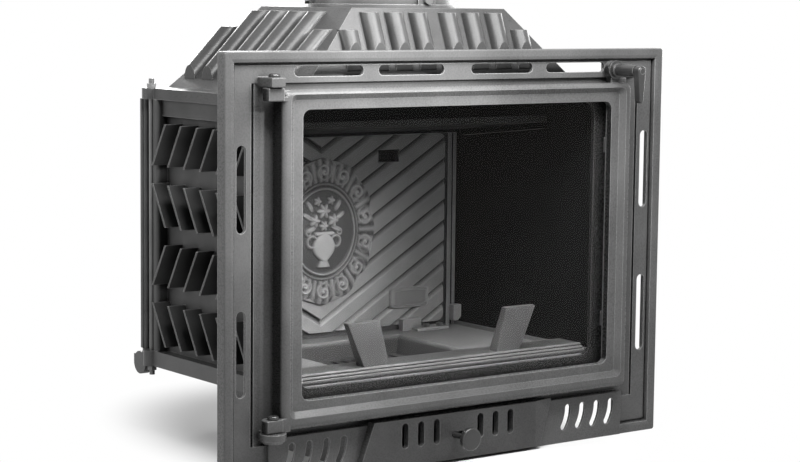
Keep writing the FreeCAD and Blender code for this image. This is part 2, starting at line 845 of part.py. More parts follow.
def shutter_guides():
    """Two strips that keep the air shutter in its pocket."""
    y0 = shutter_front_y + shutter_thickness + shutter_play
    low = box(-shutter_pocket_half, shutter_pocket_half, y0, drawer_back_y,
              shutter_pocket_low, shutter_pocket_low + guide_height)
    high = box(-shutter_pocket_half, shutter_pocket_half, y0, drawer_back_y,
               shutter_pocket_high - guide_height, shutter_pocket_high)
    return Part.makeCompound([low, high])


def air_shutter():
    y0 = shutter_front_y
    y1 = shutter_front_y + shutter_thickness
    plate = box(-shutter_pocket_half + shutter_play, shutter_pocket_half - air_travel - shutter_play, y0, y1,
                shutter_pocket_low + shutter_play, shutter_pocket_high - shutter_play)
    hole = along_y(stem_x, stem_z, y0, y1, stem_radius)
    return plate.cut(air_slots(y0, y1, 1) + [hole])


def knob_stem():
    return along_y(stem_x, stem_z, front_y - stem_reach, shutter_front_y + shutter_thickness, stem_radius)


def air_knob():
    y1 = front_y - stem_reach
    knob = along_y(stem_x, stem_z, y1 - knob_thickness, y1, knob_radius)
    knob = knob.makeFillet(knob_round, edges_at_y(knob, y1 - knob_thickness) + edges_at_y(knob, y1))
    return knob


def pan_screw_places():
    middle = (drawer_low + drawer_high) / 2
    return [(-pan_screw_x - pan_screw_radius, middle), (pan_screw_x + pan_screw_radius, middle)]


def ash_pan():
    """Open sheet metal pan with a low front lip under the air slots."""
    half = drawer_half - pan_play
    low = drawer_low + shutter_play * 2
    high = drawer_high - pan_play
    y0 = drawer_back_y
    y1 = pan_back_y
    pan = box(-half, half, y0, y1, low, high)
    inside = box(-half + pan_wall, half - pan_wall, y0 + pan_wall, y1 - pan_wall, low + pan_wall, high)
    window = box(-shutter_pocket_half, shutter_pocket_half, y0, y0 + pan_wall, low + pan_lip, high)
    holes = [along_y(x, z, y0, y0 + pan_wall, pan_screw_radius + screw_clearance)
             for x, z in pan_screw_places()]
    return pan.cut([inside, window] + holes)


def pan_screws():
    screws = []
    head_y = drawer_back_y + pan_wall
    for x, z in pan_screw_places():
        head = along_y(x, z, head_y, head_y + pan_screw_head_height, pan_screw_head)
        shank = along_y(x, z, drawer_back_y - pan_screw_depth, head_y, pan_screw_radius)
        screws.append(head.fuse(shank).removeSplitter())
    return Part.makeCompound(screws)


def fin(middle, low, slant, root, tip_at):
    """Slanted fin with draft: its root and tip outlines as (along, height) corners."""
    def outline(thickness, out):
        half = thickness / 2
        points = [(middle + slant / 2 - half, low), (middle + slant / 2 + half, low),
                  (middle - slant / 2 + half, low + fin_height), (middle - slant / 2 - half, low + fin_height)]
        corners = [tip_at(along, out, height) for along, height in points]
        return Part.makePolygon(corners + corners[:1])
    return loft(outline(fin_thickness, root[0]), outline(fin_tip, root[1]))


def row_slant(row):
    """Rows of fins lean to and fro, like a herringbone; the top row leans forward."""
    return fin_slant if (fin_rows - 1 - row) % 2 == 0 else -fin_slant


def row_low(row):
    return base_high + fin_first_row + row * fin_row_pitch - fin_height / 2


def baffle_profile(drop, front, rear):
    """Heights along the sloping underside of the baffle, lowered by drop."""
    rise = (baffle_rear_z - baffle_front_z) / (baffle_back_y() - baffle_front_y())
    return [(front, baffle_front_z + rise * (front - baffle_front_y()) - drop),
            (rear, baffle_front_z + rise * (rear - baffle_front_y()) - drop)]


def baffle_front_y():
    return front_y + baffle_front


def baffle_back_y():
    return fireback_front_y - medallion_proud - baffle_rear_gap


def left_wall():
    y0 = frame_back_y
    wall = box(-wall_outer, -wall_inner, y0, rear_inner_y, base_high, wall_high)
    border = box(-wall_outer - top_border_proud, -wall_outer, y0, side_bead_back_y,
                 wall_high - top_border, wall_high)
    bead = box(-body_half, -wall_outer, side_bead_front_y, side_bead_back_y, base_high, wall_high)
    bead = bead.makeFillet(bead_round, [edge for edge in bead.Edges
                                        if edge.BoundBox.ZLength > wall_height / 2
                                        and edge.BoundBox.XMax < -wall_outer - bead_round])
    flange = box(-wall_flange_half, -wall_inner, y0, y0 + wall_flange_depth, base_high, wall_high)
    ledge_front = baffle_front_y() + ledge_width
    ledge_rear = baffle_back_y() - ledge_width
    under = baffle_profile(0, ledge_front, ledge_rear)
    below = baffle_profile(ledge_thickness, ledge_front, ledge_rear)
    ledge = bar_yz(under + below[::-1], -wall_inner, -wall_inner + ledge_width)
    fins = []
    for row in range(fin_rows):
        for column in range(fin_columns):
            middle = rod_rear_y - fin_last - column * fin_pitch
            fins.append(fin(middle, row_low(row), row_slant(row), (0, fin_proud),
                            lambda along, out, height: Vec(-wall_outer - out, along, height)))
    bolt_holes = [along_y(-x, z, y0, y0 + wall_flange_depth, rod_radius) for x, z in frame_bolt_places()]
    return wall.fuse([border, bead, flange, ledge] + fins).cut(bolt_holes).removeSplitter()


def rear_wall():
    wall = box(-wall_outer, wall_outer, rear_inner_y, rear_outer_y, base_high, wall_high)
    pieces = []
    for side in (-1, 1):
        x0, x1 = sorted((side * wall_inner, side * body_half))
        bead = box(x0, x1, rod_rear_y + 3 * rod_radius, body_back_y, base_high, wall_high)
        bead = bead.makeFillet(bead_round, [edge for edge in bead.Edges
                                            if edge.BoundBox.ZLength > wall_height / 2
                                            and abs(edge.BoundBox.XMax) > wall_outer + bead_round])
        groove = upright(side * body_half, body_back_y - rear_wall_inset, base_high, wall_high, bead_round / 2)
        pieces.append(bead.cut(groove))
    for row in range(fin_rows):
        for column in range(rear_fin_columns):
            middle = (column - (rear_fin_columns - 1) / 2) * fin_pitch
            pieces.append(fin(middle, row_low(row), row_slant(row), (0, rear_fin_proud),
                              lambda along, out, height: Vec(along, rear_outer_y + out, height)))
    for side in (-1, 1):
        for z in (floor_top + fireback_height * 0.25, floor_top + fireback_height * 0.8):
            pieces.append(along_y(side * fireback_half * 0.7, z, fireback_back_y, rear_inner_y,
                                  fireback_boss_radius))
    return wall.fuse(pieces).removeSplitter()


def rod_places():
    return [(x, y) for x in (-rod_x, rod_x) for y in (rod_front_y, rod_rear_y)]


def frame_bolt_places():
    """Bolts through the walls' front flanges into the frame, on the right-hand side."""
    x = (wall_outer + wall_flange_half) / 2
    return [(x, base_high + wall_height * share) for share in (0.15, 0.5, 0.85)]


def flange_plate(z0, z1):
    """Flat plate over the whole firebox, with its rear corners rounded."""
    plate = box(-body_half, body_half, frame_back_y, body_back_y, z0, z1)
    return plate.makeFillet(corner_round, [edge for edge in plate.Edges
                                           if edge.BoundBox.YMin > body_back_y - 0.001
                                           and edge.BoundBox.ZLength > (z1 - z0) / 2])


def base_plate():
    plate = flange_plate(base_low, base_high)
    inner = body_half - base_wall
    hearth_half = body_half - hearth_wall
    hearth = box(-hearth_half, hearth_half, frame_back_y, body_back_y - base_wall, floor_top, base_high)
    under = box(-inner, inner, frame_back_y + base_wall, body_back_y - base_wall, base_low, floor_low)
    ears = [upright(x, y, base_low, base_high, ear_radius) for x, y in rod_places()]
    feet = []
    for side in (-1, 1):
        x0, x1 = sorted((side * (body_half - foot_thickness), side * body_half))
        tab = box(x0, x1, body_back_y - foot_width / 2, body_back_y + foot_width / 2,
                  base_low, base_low + base_height / 2)
        tip = Part.makeCylinder(foot_width / 2, foot_thickness, Vec(x0, body_back_y, base_low), Vec(1, 0, 0))
        feet += [tab, tip]
    z1 = floor_top - funnel_depth
    shrink = funnel_slope
    funnel_out = loft(rectangle_at_height(funnel_half + funnel_wall, grate_y - funnel_half_depth - funnel_wall,
                                          grate_y + funnel_half_depth + funnel_wall, floor_low),
                      rectangle_at_height(funnel_half + funnel_wall - shrink,
                                          grate_y - funnel_half_depth - funnel_wall + shrink,
                                          grate_y + funnel_half_depth + funnel_wall - shrink, z1))
    funnel_in = loft(rectangle_at_height(funnel_half, grate_y - funnel_half_depth, grate_y + funnel_half_depth,
                                         floor_top),
                     rectangle_at_height(funnel_half - shrink, grate_y - funnel_half_depth + shrink,
                                         grate_y + funnel_half_depth - shrink, z1))
    mouth = shrink + grate_ledge
    ledge = box(-funnel_half - funnel_wall + shrink, funnel_half + funnel_wall - shrink,
                grate_y - funnel_half_depth - funnel_wall + shrink,
                grate_y + funnel_half_depth + funnel_wall - shrink, z1 - grate_ledge_thickness, z1)
    drop = box(-funnel_half + mouth, funnel_half - mouth, grate_y - funnel_half_depth + mouth,
               grate_y + funnel_half_depth - mouth, z1 - grate_ledge_thickness, z1)
    holes = [upright(x, y, base_low, base_high, rod_radius + rod_clearance) for x, y in rod_places()]
    plate = plate.cut([hearth, under]).fuse(ears + feet + [funnel_out, ledge])
    return plate.cut([funnel_in, drop] + holes).removeSplitter()


def grate():
    z0 = floor_top - funnel_depth
    half = funnel_half - funnel_slope - grate_play
    half_depth = funnel_half_depth - funnel_slope - grate_play
    plate = box(-half, half, grate_y - half_depth, grate_y + half_depth, z0, z0 + grate_thickness)
    inner = half - grate_border
    step = 2 * inner / grate_bar_count
    gaps = []
    for k in range(grate_bar_count):
        x = -inner + (k + 0.5) * step
        gaps.append(box(x - (step - grate_bar_width) / 2, x + (step - grate_bar_width) / 2,
                        grate_y - half_depth + grate_border, grate_y + half_depth - grate_border,
                        z0, z0 + grate_thickness))
    return plate.cut(gaps)


def hood_slopes():
    """Outer form of the hood: four slopes from the flange up to the flat top."""
    return loft(rectangle_at_height(hood_foot_half, hood_foot_front_y, hood_foot_rear_y, hood_eave),
                rectangle_at_height(hood_top_half, -hood_top_half_depth, hood_top_half_depth, hood_top))


def slope_rib(start, end, high, keep):
    """Half-round rib along a slope of the hood, level at its top and cut upright at its lower end."""
    run = end - start
    rib = Part.makeCylinder(rib_radius, run.Length, start, run)
    return rib.common(box(keep[0], keep[1], keep[2], keep[3], hood_eave, high)).cut(hood_slopes()).Solids[0]


def hood_ribs():
    """Ribs cast on the outside of the hood; the ones next to the corners are shorter."""
    ribs = []
    wide = body_half
    slope_x = (hood_foot_half - hood_top_half) / hood_rise
    slope_front = (-hood_top_half_depth - hood_foot_front_y) / hood_rise
    slope_rear = (hood_foot_rear_y - hood_top_half_depth) / hood_rise
    over = 2 * rib_radius
    z0 = hood_eave - over
    z1 = hood_top + over
    trim = hood_foot_half - rib_inset
    trim_front = hood_foot_front_y + rib_inset
    trim_rear = hood_foot_rear_y - rib_inset
    for k in range(side_rib_count):
        y = side_rib_first + k * side_rib_pitch
        short = k in (0, side_rib_count - 1)
        top = hood_top - (short_rib_drop if short else rib_top_drop)
        for side in (-1, 1):
            start = Vec(side * (hood_foot_half + slope_x * over), y, z0)
            end = Vec(side * (hood_top_half - slope_x * over), y, z1)
            keep = (-trim, 0, front_y, body_back_y) if side < 0 else (0, trim, front_y, body_back_y)
            ribs.append(slope_rib(start, end, top, keep))
    for k in range(front_rib_count):
        short = k == front_rib_count - 1
        top = hood_top - (short_rib_drop if short else rib_top_drop)
        for side in (-1, 1):
            x = side * (front_rib_first + k * front_rib_pitch)
            start = Vec(x, hood_foot_front_y - slope_front * over, z0)
            end = Vec(x, -hood_top_half_depth + slope_front * over, z1)
            ribs.append(slope_rib(start, end, top, (-wide, wide, trim_front, 0)))
            start = Vec(x, hood_foot_rear_y + slope_rear * over, z0)
            end = Vec(x, hood_top_half_depth - slope_rear * over, z1)
            ribs.append(slope_rib(start, end, top, (-wide, wide, 0, trim_rear)))
    return Part.makeCompound(ribs)


def hood():
    """Sloping smoke hood on a flat flange that clamps the walls."""
    flange = flange_plate(wall_high, hood_eave)
    ears = [upright(x, y, wall_high, hood_eave, ear_radius) for x, y in rod_places()]
    shell = hood_shell
    share = hood_top_thickness / hood_rise
    half = hood_top_half + (hood_foot_half - hood_top_half) * share - shell
    front = -hood_top_half_depth + (hood_foot_front_y + hood_top_half_depth) * share + shell
    rear = hood_top_half_depth + (hood_foot_rear_y - hood_top_half_depth) * share - shell
    smoke = loft(rectangle_at_height(hood_foot_half - shell, hood_foot_front_y + shell,
                                     hood_foot_rear_y - shell, hood_eave),
                 rectangle_at_height(half, front, rear, hood_shoulder))
    mouth = box(-hood_foot_half + shell, hood_foot_half - shell, hood_foot_front_y + shell,
                hood_foot_rear_y - shell, wall_high, hood_eave)
    flue = upright(0, 0, hood_shoulder, hood_top, collar_inner - flue_ledge)
    holes = [upright(x, y, wall_high, hood_eave, rod_radius + rod_clearance) for x, y in rod_places()]
    return flange.fuse(ears).cut([mouth] + holes).fuse(hood_slopes().cut([smoke, flue])).removeSplitter()


def collar_angles():
    return [-90.0 + 360.0 * k / collar_bolt_count for k in range(collar_bolt_count)]


def turned(shape, angle):
    return shape.rotated(Vec(0, 0, 0), Vec(0, 0, 1), angle)


def flue_collar():
    outer = collar_inner + collar_wall
    tube = upright(0, 0, hood_top, hood_top + collar_height, outer)
    foot = upright(0, 0, hood_top, hood_top + collar_foot, outer + collar_foot_width)
    pads = []
    holes = []
    for angle in collar_angles():
        pad = box(collar_inner, outer + pad_proud, -pad_width / 2, pad_width / 2, hood_top, hood_top + pad_height)
        pads.append(turned(pad, angle))
        hole = Part.makeCylinder(collar_bolt_radius, outer, Vec(collar_inner + collar_wall / 2, 0,
                                                                hood_top + pad_height / 2), Vec(1, 0, 0))
        holes.append(turned(hole, angle))
    bore = upright(0, 0, hood_top, hood_top + collar_height, collar_inner)
    return tube.fuse([foot] + pads).cut([bore] + holes).removeSplitter()


def collar_bolts():
    bolts = []
    seat = collar_inner + collar_wall + pad_proud
    z = hood_top + pad_height / 2
    for angle in collar_angles():
        head = hexagon_bar(Vec(seat, 0, z), Vec(1, 0, 0), collar_bolt_flats, collar_bolt_head)
        inner = collar_inner + collar_wall / 2
        shank = Part.makeCylinder(collar_bolt_radius, seat - inner, Vec(inner, 0, z), Vec(1, 0, 0))
        bolts.append(turned(head.fuse(shank).removeSplitter(), angle))
    return Part.makeCompound(bolts)


def tie_rods():
    """Long threaded rods that clamp the hood and the base plate on the walls."""
    rods = [upright(x, y, base_low - rod_stand, hood_eave + rod_stand, rod_radius) for x, y in rod_places()]
    return Part.makeCompound(rods)


def tie_rod_nuts():
    nuts = []
    for x, y in rod_places():
        for z in (hood_eave, base_low - nut_height):
            nut = hexagon_bar(Vec(x, y, z), Vec(0, 0, 1), nut_flats, nut_height)
            nuts.append(nut.cut(upright(x, y, z, z + nut_height, rod_radius)))
    return Part.makeCompound(nuts)


def frame_bolts():
    bolts = []
    head_y = frame_back_y + wall_flange_depth
    for x, z in frame_bolt_places():
        for side in (-1, 1):
            head = hexagon_bar(Vec(side * x, head_y, z), Vec(0, 1, 0), nut_flats, nut_height)
            shank = along_y(side * x, z, frame_back_y - bolt_bite, head_y, rod_radius)
            bolts.append(head.fuse(shank).removeSplitter())
    return Part.makeCompound(bolts)


def oval(half_width, half_height, y0, y1):
    """Upright oval plate on the fireback."""
    z = floor_top + medallion_height
    if half_height > half_width:
        curve = Part.Ellipse(Vec(0, 0, 0), half_height, half_width)
    else:
        curve = Part.Ellipse(Vec(0, 0, 0), half_width, half_height)
    face = Part.Face(Part.Wire(curve.toShape()))
    turn = FreeCAD.Rotation(Vec(1, 0, 0), Vec(0, 0, 1), Vec(0, 1, 0), "XYZ")
    if half_height > half_width:
        turn = FreeCAD.Rotation(Vec(0, 0, 1), Vec(-1, 0, 0), Vec(0, -1, 0), "XYZ")
    face.Placement = FreeCAD.Placement(Vec(0, y0, z), turn)
    return face.extrude(Vec(0, y1 - y0, 0))


def fireback():
    """Cast back plate with slanted boards that rise outwards, and a raised oval."""
    z0 = floor_top
    z1 = floor_top + fireback_height
    front = fireback_front_y
    floor_y = front + groove_depth
    field_half = fireback_half - field_margin
    plate = box(-fireback_half, fireback_half, floor_y, fireback_back_y, z0, z1)
    boards = rounded_slab(-field_half, field_half, z0 + field_low, z1, field_radius, front, floor_y)
    strips = []
    for start, width in ((fireback_half - strip_inner_margin, strip_inner_width),
                         (fireback_half - strip_outer_width, strip_outer_width)):
        strip = box(start, start + width, front + strip_set_back, floor_y, z0, z1)
        strips += [strip, mirrored(strip)]
    grooves = []
    slope = math.tan(math.radians(groove_angle))
    rise = field_half * slope
    count = int((fireback_height + rise) / groove_pitch) + 1
    for k in range(count):
        z = z0 - rise + k * groove_pitch
        low = z - groove_width / 2
        section = [Vec(0, front, low), Vec(0, floor_y, low + groove_width * groove_bottom),
                   Vec(0, front, low + groove_width)]
        face = Part.Face(Part.makePolygon(section + section[:1]))
        groove = face.extrude(Vec(field_half, 0, rise))
        grooves += [groove, mirrored(groove)]
    holes = [box(side * air_hole_x - air_hole_width / 2, side * air_hole_x + air_hole_width / 2,
                 fireback_front_y, fireback_back_y, z0 + air_hole_z - air_hole_height / 2,
                 z0 + air_hole_z + air_hole_height / 2) for side in (-1, 1)]
    field = oval(medallion_half_width, medallion_half_height, front - medallion_proud, floor_y)
    hollow = oval(medallion_half_width - medallion_rim, medallion_half_height - medallion_rim,
                  front - medallion_proud, front - medallion_proud / 2)
    plate = plate.fuse(strips + [boards.cut(grooves)])
    return plate.cut(holes).fuse(field).cut(hollow).removeSplitter()


def fireback_stops():
    """Lugs on the floor and on the side walls that keep the fireback's foot in place."""
    stops = []
    y1 = fireback_front_y
    y0 = y1 - stop_depth
    for side in (-1, 1):
        x = side * stop_x
        post = box(x - stop_width / 2, x + stop_width / 2, y0, y1, floor_top, floor_top + stop_height)
        x0, x1 = sorted((x, x + side * stop_foot))
        foot = box(x0, x1, y1 - stop_foot_depth, y1, floor_top, floor_top + stop_foot_height)
        bolt_holes = [upright(x + side * offset, y1 - stop_bolt_back, floor_top,
                              floor_top + stop_foot_height, stop_bolt_radius) for offset in stop_bolt_offsets]
        stops.append(post.fuse(foot).cut(bolt_holes).removeSplitter())
    low = floor_top + side_stop_low
    high = floor_top + side_stop_high
    cut = side_stop_chamfer
    inner = wall_inner - side_stop_width
    outline = [(inner, low), (wall_inner - cut, low), (wall_inner, low + cut), (wall_inner, high), (inner, high)]
    side_stop = plate_xz(outline, y0, y1)
    return Part.makeCompound(stops + [side_stop, mirrored(side_stop)])


def stop_bolts():
    bolts = []
    y = fireback_front_y - stop_bolt_back
    z = floor_top + stop_foot_height
    for side in (-1, 1):
        for offset in stop_bolt_offsets:
            x = side * (stop_x + offset)
            head = hexagon_bar(Vec(x, y, z), Vec(0, 0, 1), stop_bolt_flats, stop_bolt_head)
            bolts.append(head.fuse(upright(x, y, floor_top, z, stop_bolt_radius)).removeSplitter())
    return Part.makeCompound(bolts)


def baffle_plate():
    lower = baffle_profile(0, baffle_front_y(), baffle_back_y())
    upper = baffle_profile(-baffle_thickness, baffle_front_y(), baffle_back_y())
    return bar_yz(lower + upper[::-1], -baffle_half, baffle_half)


def sill_back_y():
    return frame_back_y + sill_depth


def guard_top():
    return floor_top + sill_ledge_height + guard_height


def front_sill():
    """Ribbed sill that rises from the door opening to the guard, and a ledge that carries the guard."""
    half = guard_half
    back = sill_back_y()
    low = floor_top + sill_lip
    rise = guard_top() - low
    ledge = floor_top + sill_ledge_height
    points = [(frame_back_y, floor_top), (frame_back_y, low), (back, guard_top()), (back, ledge),
              (back + guard_depth, ledge), (back + guard_depth, floor_top)]
    space = box(-half, half, frame_back_y, back, floor_top, guard_top() + sill_rib_radius)
    ribs = []
    for k in range(sill_rib_count):
        share = (k + 0.5) / sill_rib_count
        place = Vec(-half, frame_back_y + share * sill_depth, low + share * rise)
        ribs.append(Part.makeCylinder(sill_rib_radius, 2 * half, place, Vec(1, 0, 0)).common(space))
    return bar_yz(points, -half, half).fuse(ribs).removeSplitter()


def log_guard():
    """Plate behind the sill with two flared prongs that keep logs off the glass."""
    half = guard_half
    y0 = sill_back_y()
    z0 = guard_top()
    plate = box(-half, half, y0, y0 + guard_depth, z0 - guard_height, z0)
    foot = Part.makePolygon([Vec(horn_low[0], y0, z0), Vec(horn_low[1], y0, z0),
                             Vec(horn_low[1], y0 + horn_depth[0], z0), Vec(horn_low[0], y0 + horn_depth[0], z0),
                             Vec(horn_low[0], y0, z0)])
    top = z0 + horn_height
    tip = Part.makePolygon([Vec(horn_top[0], y0, top), Vec(horn_top[1], y0, top),
                            Vec(horn_top[1], y0 + horn_depth[1], top), Vec(horn_top[0], y0 + horn_depth[1], top),
                            Vec(horn_top[0], y0, top)])
    horn = loft(foot, tip)
    horn = horn.makeFillet(horn_round, [edge for edge in horn.Edges if edge.BoundBox.ZMax > top - 0.001])
    return plate.fuse([horn, mirrored(horn)]).removeSplitter()


def ash_box():
    """Box under the grate that carries the firebox and takes the drawer."""
    y0 = frame_back_y
    y1 = y0 + ash_box_length
    shell = box(-ash_box_half, ash_box_half, y0, y1, 0, floor_low)
    wall = ash_box_wall
    inside = box(-ash_box_half + wall, ash_box_half - wall, y0, y1 - wall, wall, floor_low)
    front = box(-ash_box_half, ash_box_half, y0, y0 + base_wall, base_low, floor_low)
    runners = [box(side * runner_x - runner_width / 2, side * runner_x + runner_width / 2, y0, y1 - wall,
                   0, drawer_low + shutter_play) for side in (-1, 1)]
    return shell.cut([inside, front]).fuse(runners).removeSplitter()


pieces = {
    "front_frame": front_frame(),
    "left_wall": left_wall(),
    "right_wall": mirrored(left_wall()),
    "rear_wall": rear_wall(),
    "base_plate": base_plate(),
    "hood": hood(),
    "hood_ribs": hood_ribs(),
    "flue_collar": flue_collar(),
    "collar_bolts": collar_bolts(),
    "tie_rods": tie_rods(),
    "tie_rod_nuts": tie_rod_nuts(),
    "frame_bolts": frame_bolts(),
    "hinge_pins": hinge_pins(),
    "latch_keeper": latch_keeper(),
    "fireback": fireback(),
    "fireback_stops": fireback_stops(),
    "stop_bolts": stop_bolts(),
    "baffle_plate": baffle_plate(),
    "grate": grate(),
    "front_sill": front_sill(),
    "log_guard": log_guard(),
    "ash_box": ash_box(),
    "door_frame": door_frame(),
    "door_glass": door_glass(),
    "glass_gasket": glass_gasket(),
    "glass_clips": glass_clips(),
    "clip_screws": clip_screws(),
    "door_rope": door_rope(),
    "latch_spindle": latch_spindle(),
    "latch_lever": latch_lever(),
    "latch_tongue": latch_tongue(),
    "latch_washer": latch_washer(),
    "drawer_front": drawer_front(),
    "ash_pan": ash_pan(),
    "pan_screws": pan_screws(),
    "shutter_guides": shutter_guides(),
    "air_shutter": air_shutter(),
    "knob_stem": knob_stem(),
    "air_knob": air_knob(),
}

os.makedirs("parts", exist_ok=True)
for name, shape in pieces.items():
    shape.exportStep("parts/" + name + ".step")
    print(name, len(shape.Solids), "solids", "valid" if shape.isValid() else "INVALID",
          round(shape.Volume / 1000.0, 1), "cm3")
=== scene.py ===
import json
import math

import bpy
import numpy as np
from mathutils import Matrix, Vector


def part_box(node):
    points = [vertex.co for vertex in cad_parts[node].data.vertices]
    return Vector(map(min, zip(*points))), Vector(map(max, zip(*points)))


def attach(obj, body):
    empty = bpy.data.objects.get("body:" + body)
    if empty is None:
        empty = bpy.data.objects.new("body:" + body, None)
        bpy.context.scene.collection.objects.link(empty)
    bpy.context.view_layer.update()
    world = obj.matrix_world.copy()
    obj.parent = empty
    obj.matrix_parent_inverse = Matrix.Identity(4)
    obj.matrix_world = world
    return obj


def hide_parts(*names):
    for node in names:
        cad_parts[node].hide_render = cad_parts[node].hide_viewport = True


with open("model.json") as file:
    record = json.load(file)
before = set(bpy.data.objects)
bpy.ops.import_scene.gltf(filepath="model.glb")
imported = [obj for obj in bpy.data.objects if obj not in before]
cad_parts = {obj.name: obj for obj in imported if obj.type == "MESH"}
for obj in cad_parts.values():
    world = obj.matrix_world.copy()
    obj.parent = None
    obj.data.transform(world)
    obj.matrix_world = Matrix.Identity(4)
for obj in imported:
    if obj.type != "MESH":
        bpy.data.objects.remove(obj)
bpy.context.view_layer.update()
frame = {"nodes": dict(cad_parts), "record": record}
nodes = frame["nodes"]
scene = bpy.context.scene
print("insert loaded:", len(nodes), "pieces")


# camera at the photograph's place: turned to the left side, a little above the middle
cameraView = {
    "place": (-1.8241, -2.5002, 0.6530),
    "azimuth": -36.66,
    "elevation": 6.315,
    "roll": 0.612,
    "lens": 94.43,
    "sensor": 36.0,
}


def addCamera(view):
    turn, rise, tilt = (math.radians(view[k]) for k in ("azimuth", "elevation", "roll"))
    right = Vector((math.cos(turn), math.sin(turn), 0))
    back = Vector((math.sin(turn) * math.cos(rise), -math.cos(turn) * math.cos(rise), math.sin(rise)))
    up = back.cross(right)
    tiltedRight = right * math.cos(tilt) + up * math.sin(tilt)
    tiltedUp = up * math.cos(tilt) - right * math.sin(tilt)
    camera = bpy.data.objects.new("camera", bpy.data.cameras.new("camera"))
    camera.data.lens = view["lens"]
    camera.data.sensor_width = view["sensor"]
    camera.data.sensor_fit = "HORIZONTAL"
    camera.data.clip_end = 50
    axes = Matrix((tiltedRight, tiltedUp, back)).transposed().to_4x4()
    camera.matrix_world = Matrix.Translation(view["place"]) @ axes
    scene.collection.objects.link(camera)
    scene.camera = camera


addCamera(cameraView)
print("camera placed")


# node helpers for the finishes
def newMaterial(name):
    material = bpy.data.materials.new(name)
    material.use_nodes = True
    tree = material.node_tree
    tree.nodes.clear()
    output = tree.nodes.new("ShaderNodeOutputMaterial")
    return material, tree, output


def addNode(tree, kind, inputs=None, **settings):
    node = tree.nodes.new(kind)
    for key, value in settings.items():
        setattr(node, key, value)
    for key, value in (inputs or {}).items():
        node.inputs[key].default_value = value
    return node


def link(tree, source, target):
    tree.links.new(source, target)


def addRange(tree, source, taken, given):
    # reading taken between two limits, given out between two others
    spread = addNode(tree, "ShaderNodeMapRange", {"From Min": taken[0], "From Max": taken[1],
                                                  "To Min": given[0], "To Max": given[1]})
    link(tree, source, spread.inputs["Value"])
    return spread.outputs["Result"]


def addMath(tree, operation, first, second=None):
    # second is left out, a fixed number, or another node's output
    node = addNode(tree, "ShaderNodeMath", operation=operation)
    link(tree, first, node.inputs[0])
    if isinstance(second, (int, float)):
        node.inputs[1].default_value = second
    elif second is not None:
        link(tree, second, node.inputs[1])
    return node.outputs[0]


def grey(value):
    return (value, value, value, 1)


# cast and rolled metal: cloudy tone, fine grain, worn edges with painted highlight, painted corner shade,
# dark hollows
metalSkin = {
    "cloud": {"Scale": 14, "Detail": 5, "Roughness": 0.6},
    "grainDetail": 3,
    "grainRoughness": 0.55,
    "noiseSpan": (0.3, 0.7),
    "bumpDepth": 0.001,
    "edgeSamples": 4,
    # lean of the bevelled normal over which edges turn lighter: wear and a painted highlight
    "wearAndHighlightLean": (0.985, 0.78),
    "reliefShadeAndHighlight": (0.22, 1.25),
    # samples and span of the painted shade in corners
    "cornerSamples": 8,
    "cornerSpan": (0.30, 0.82),
}
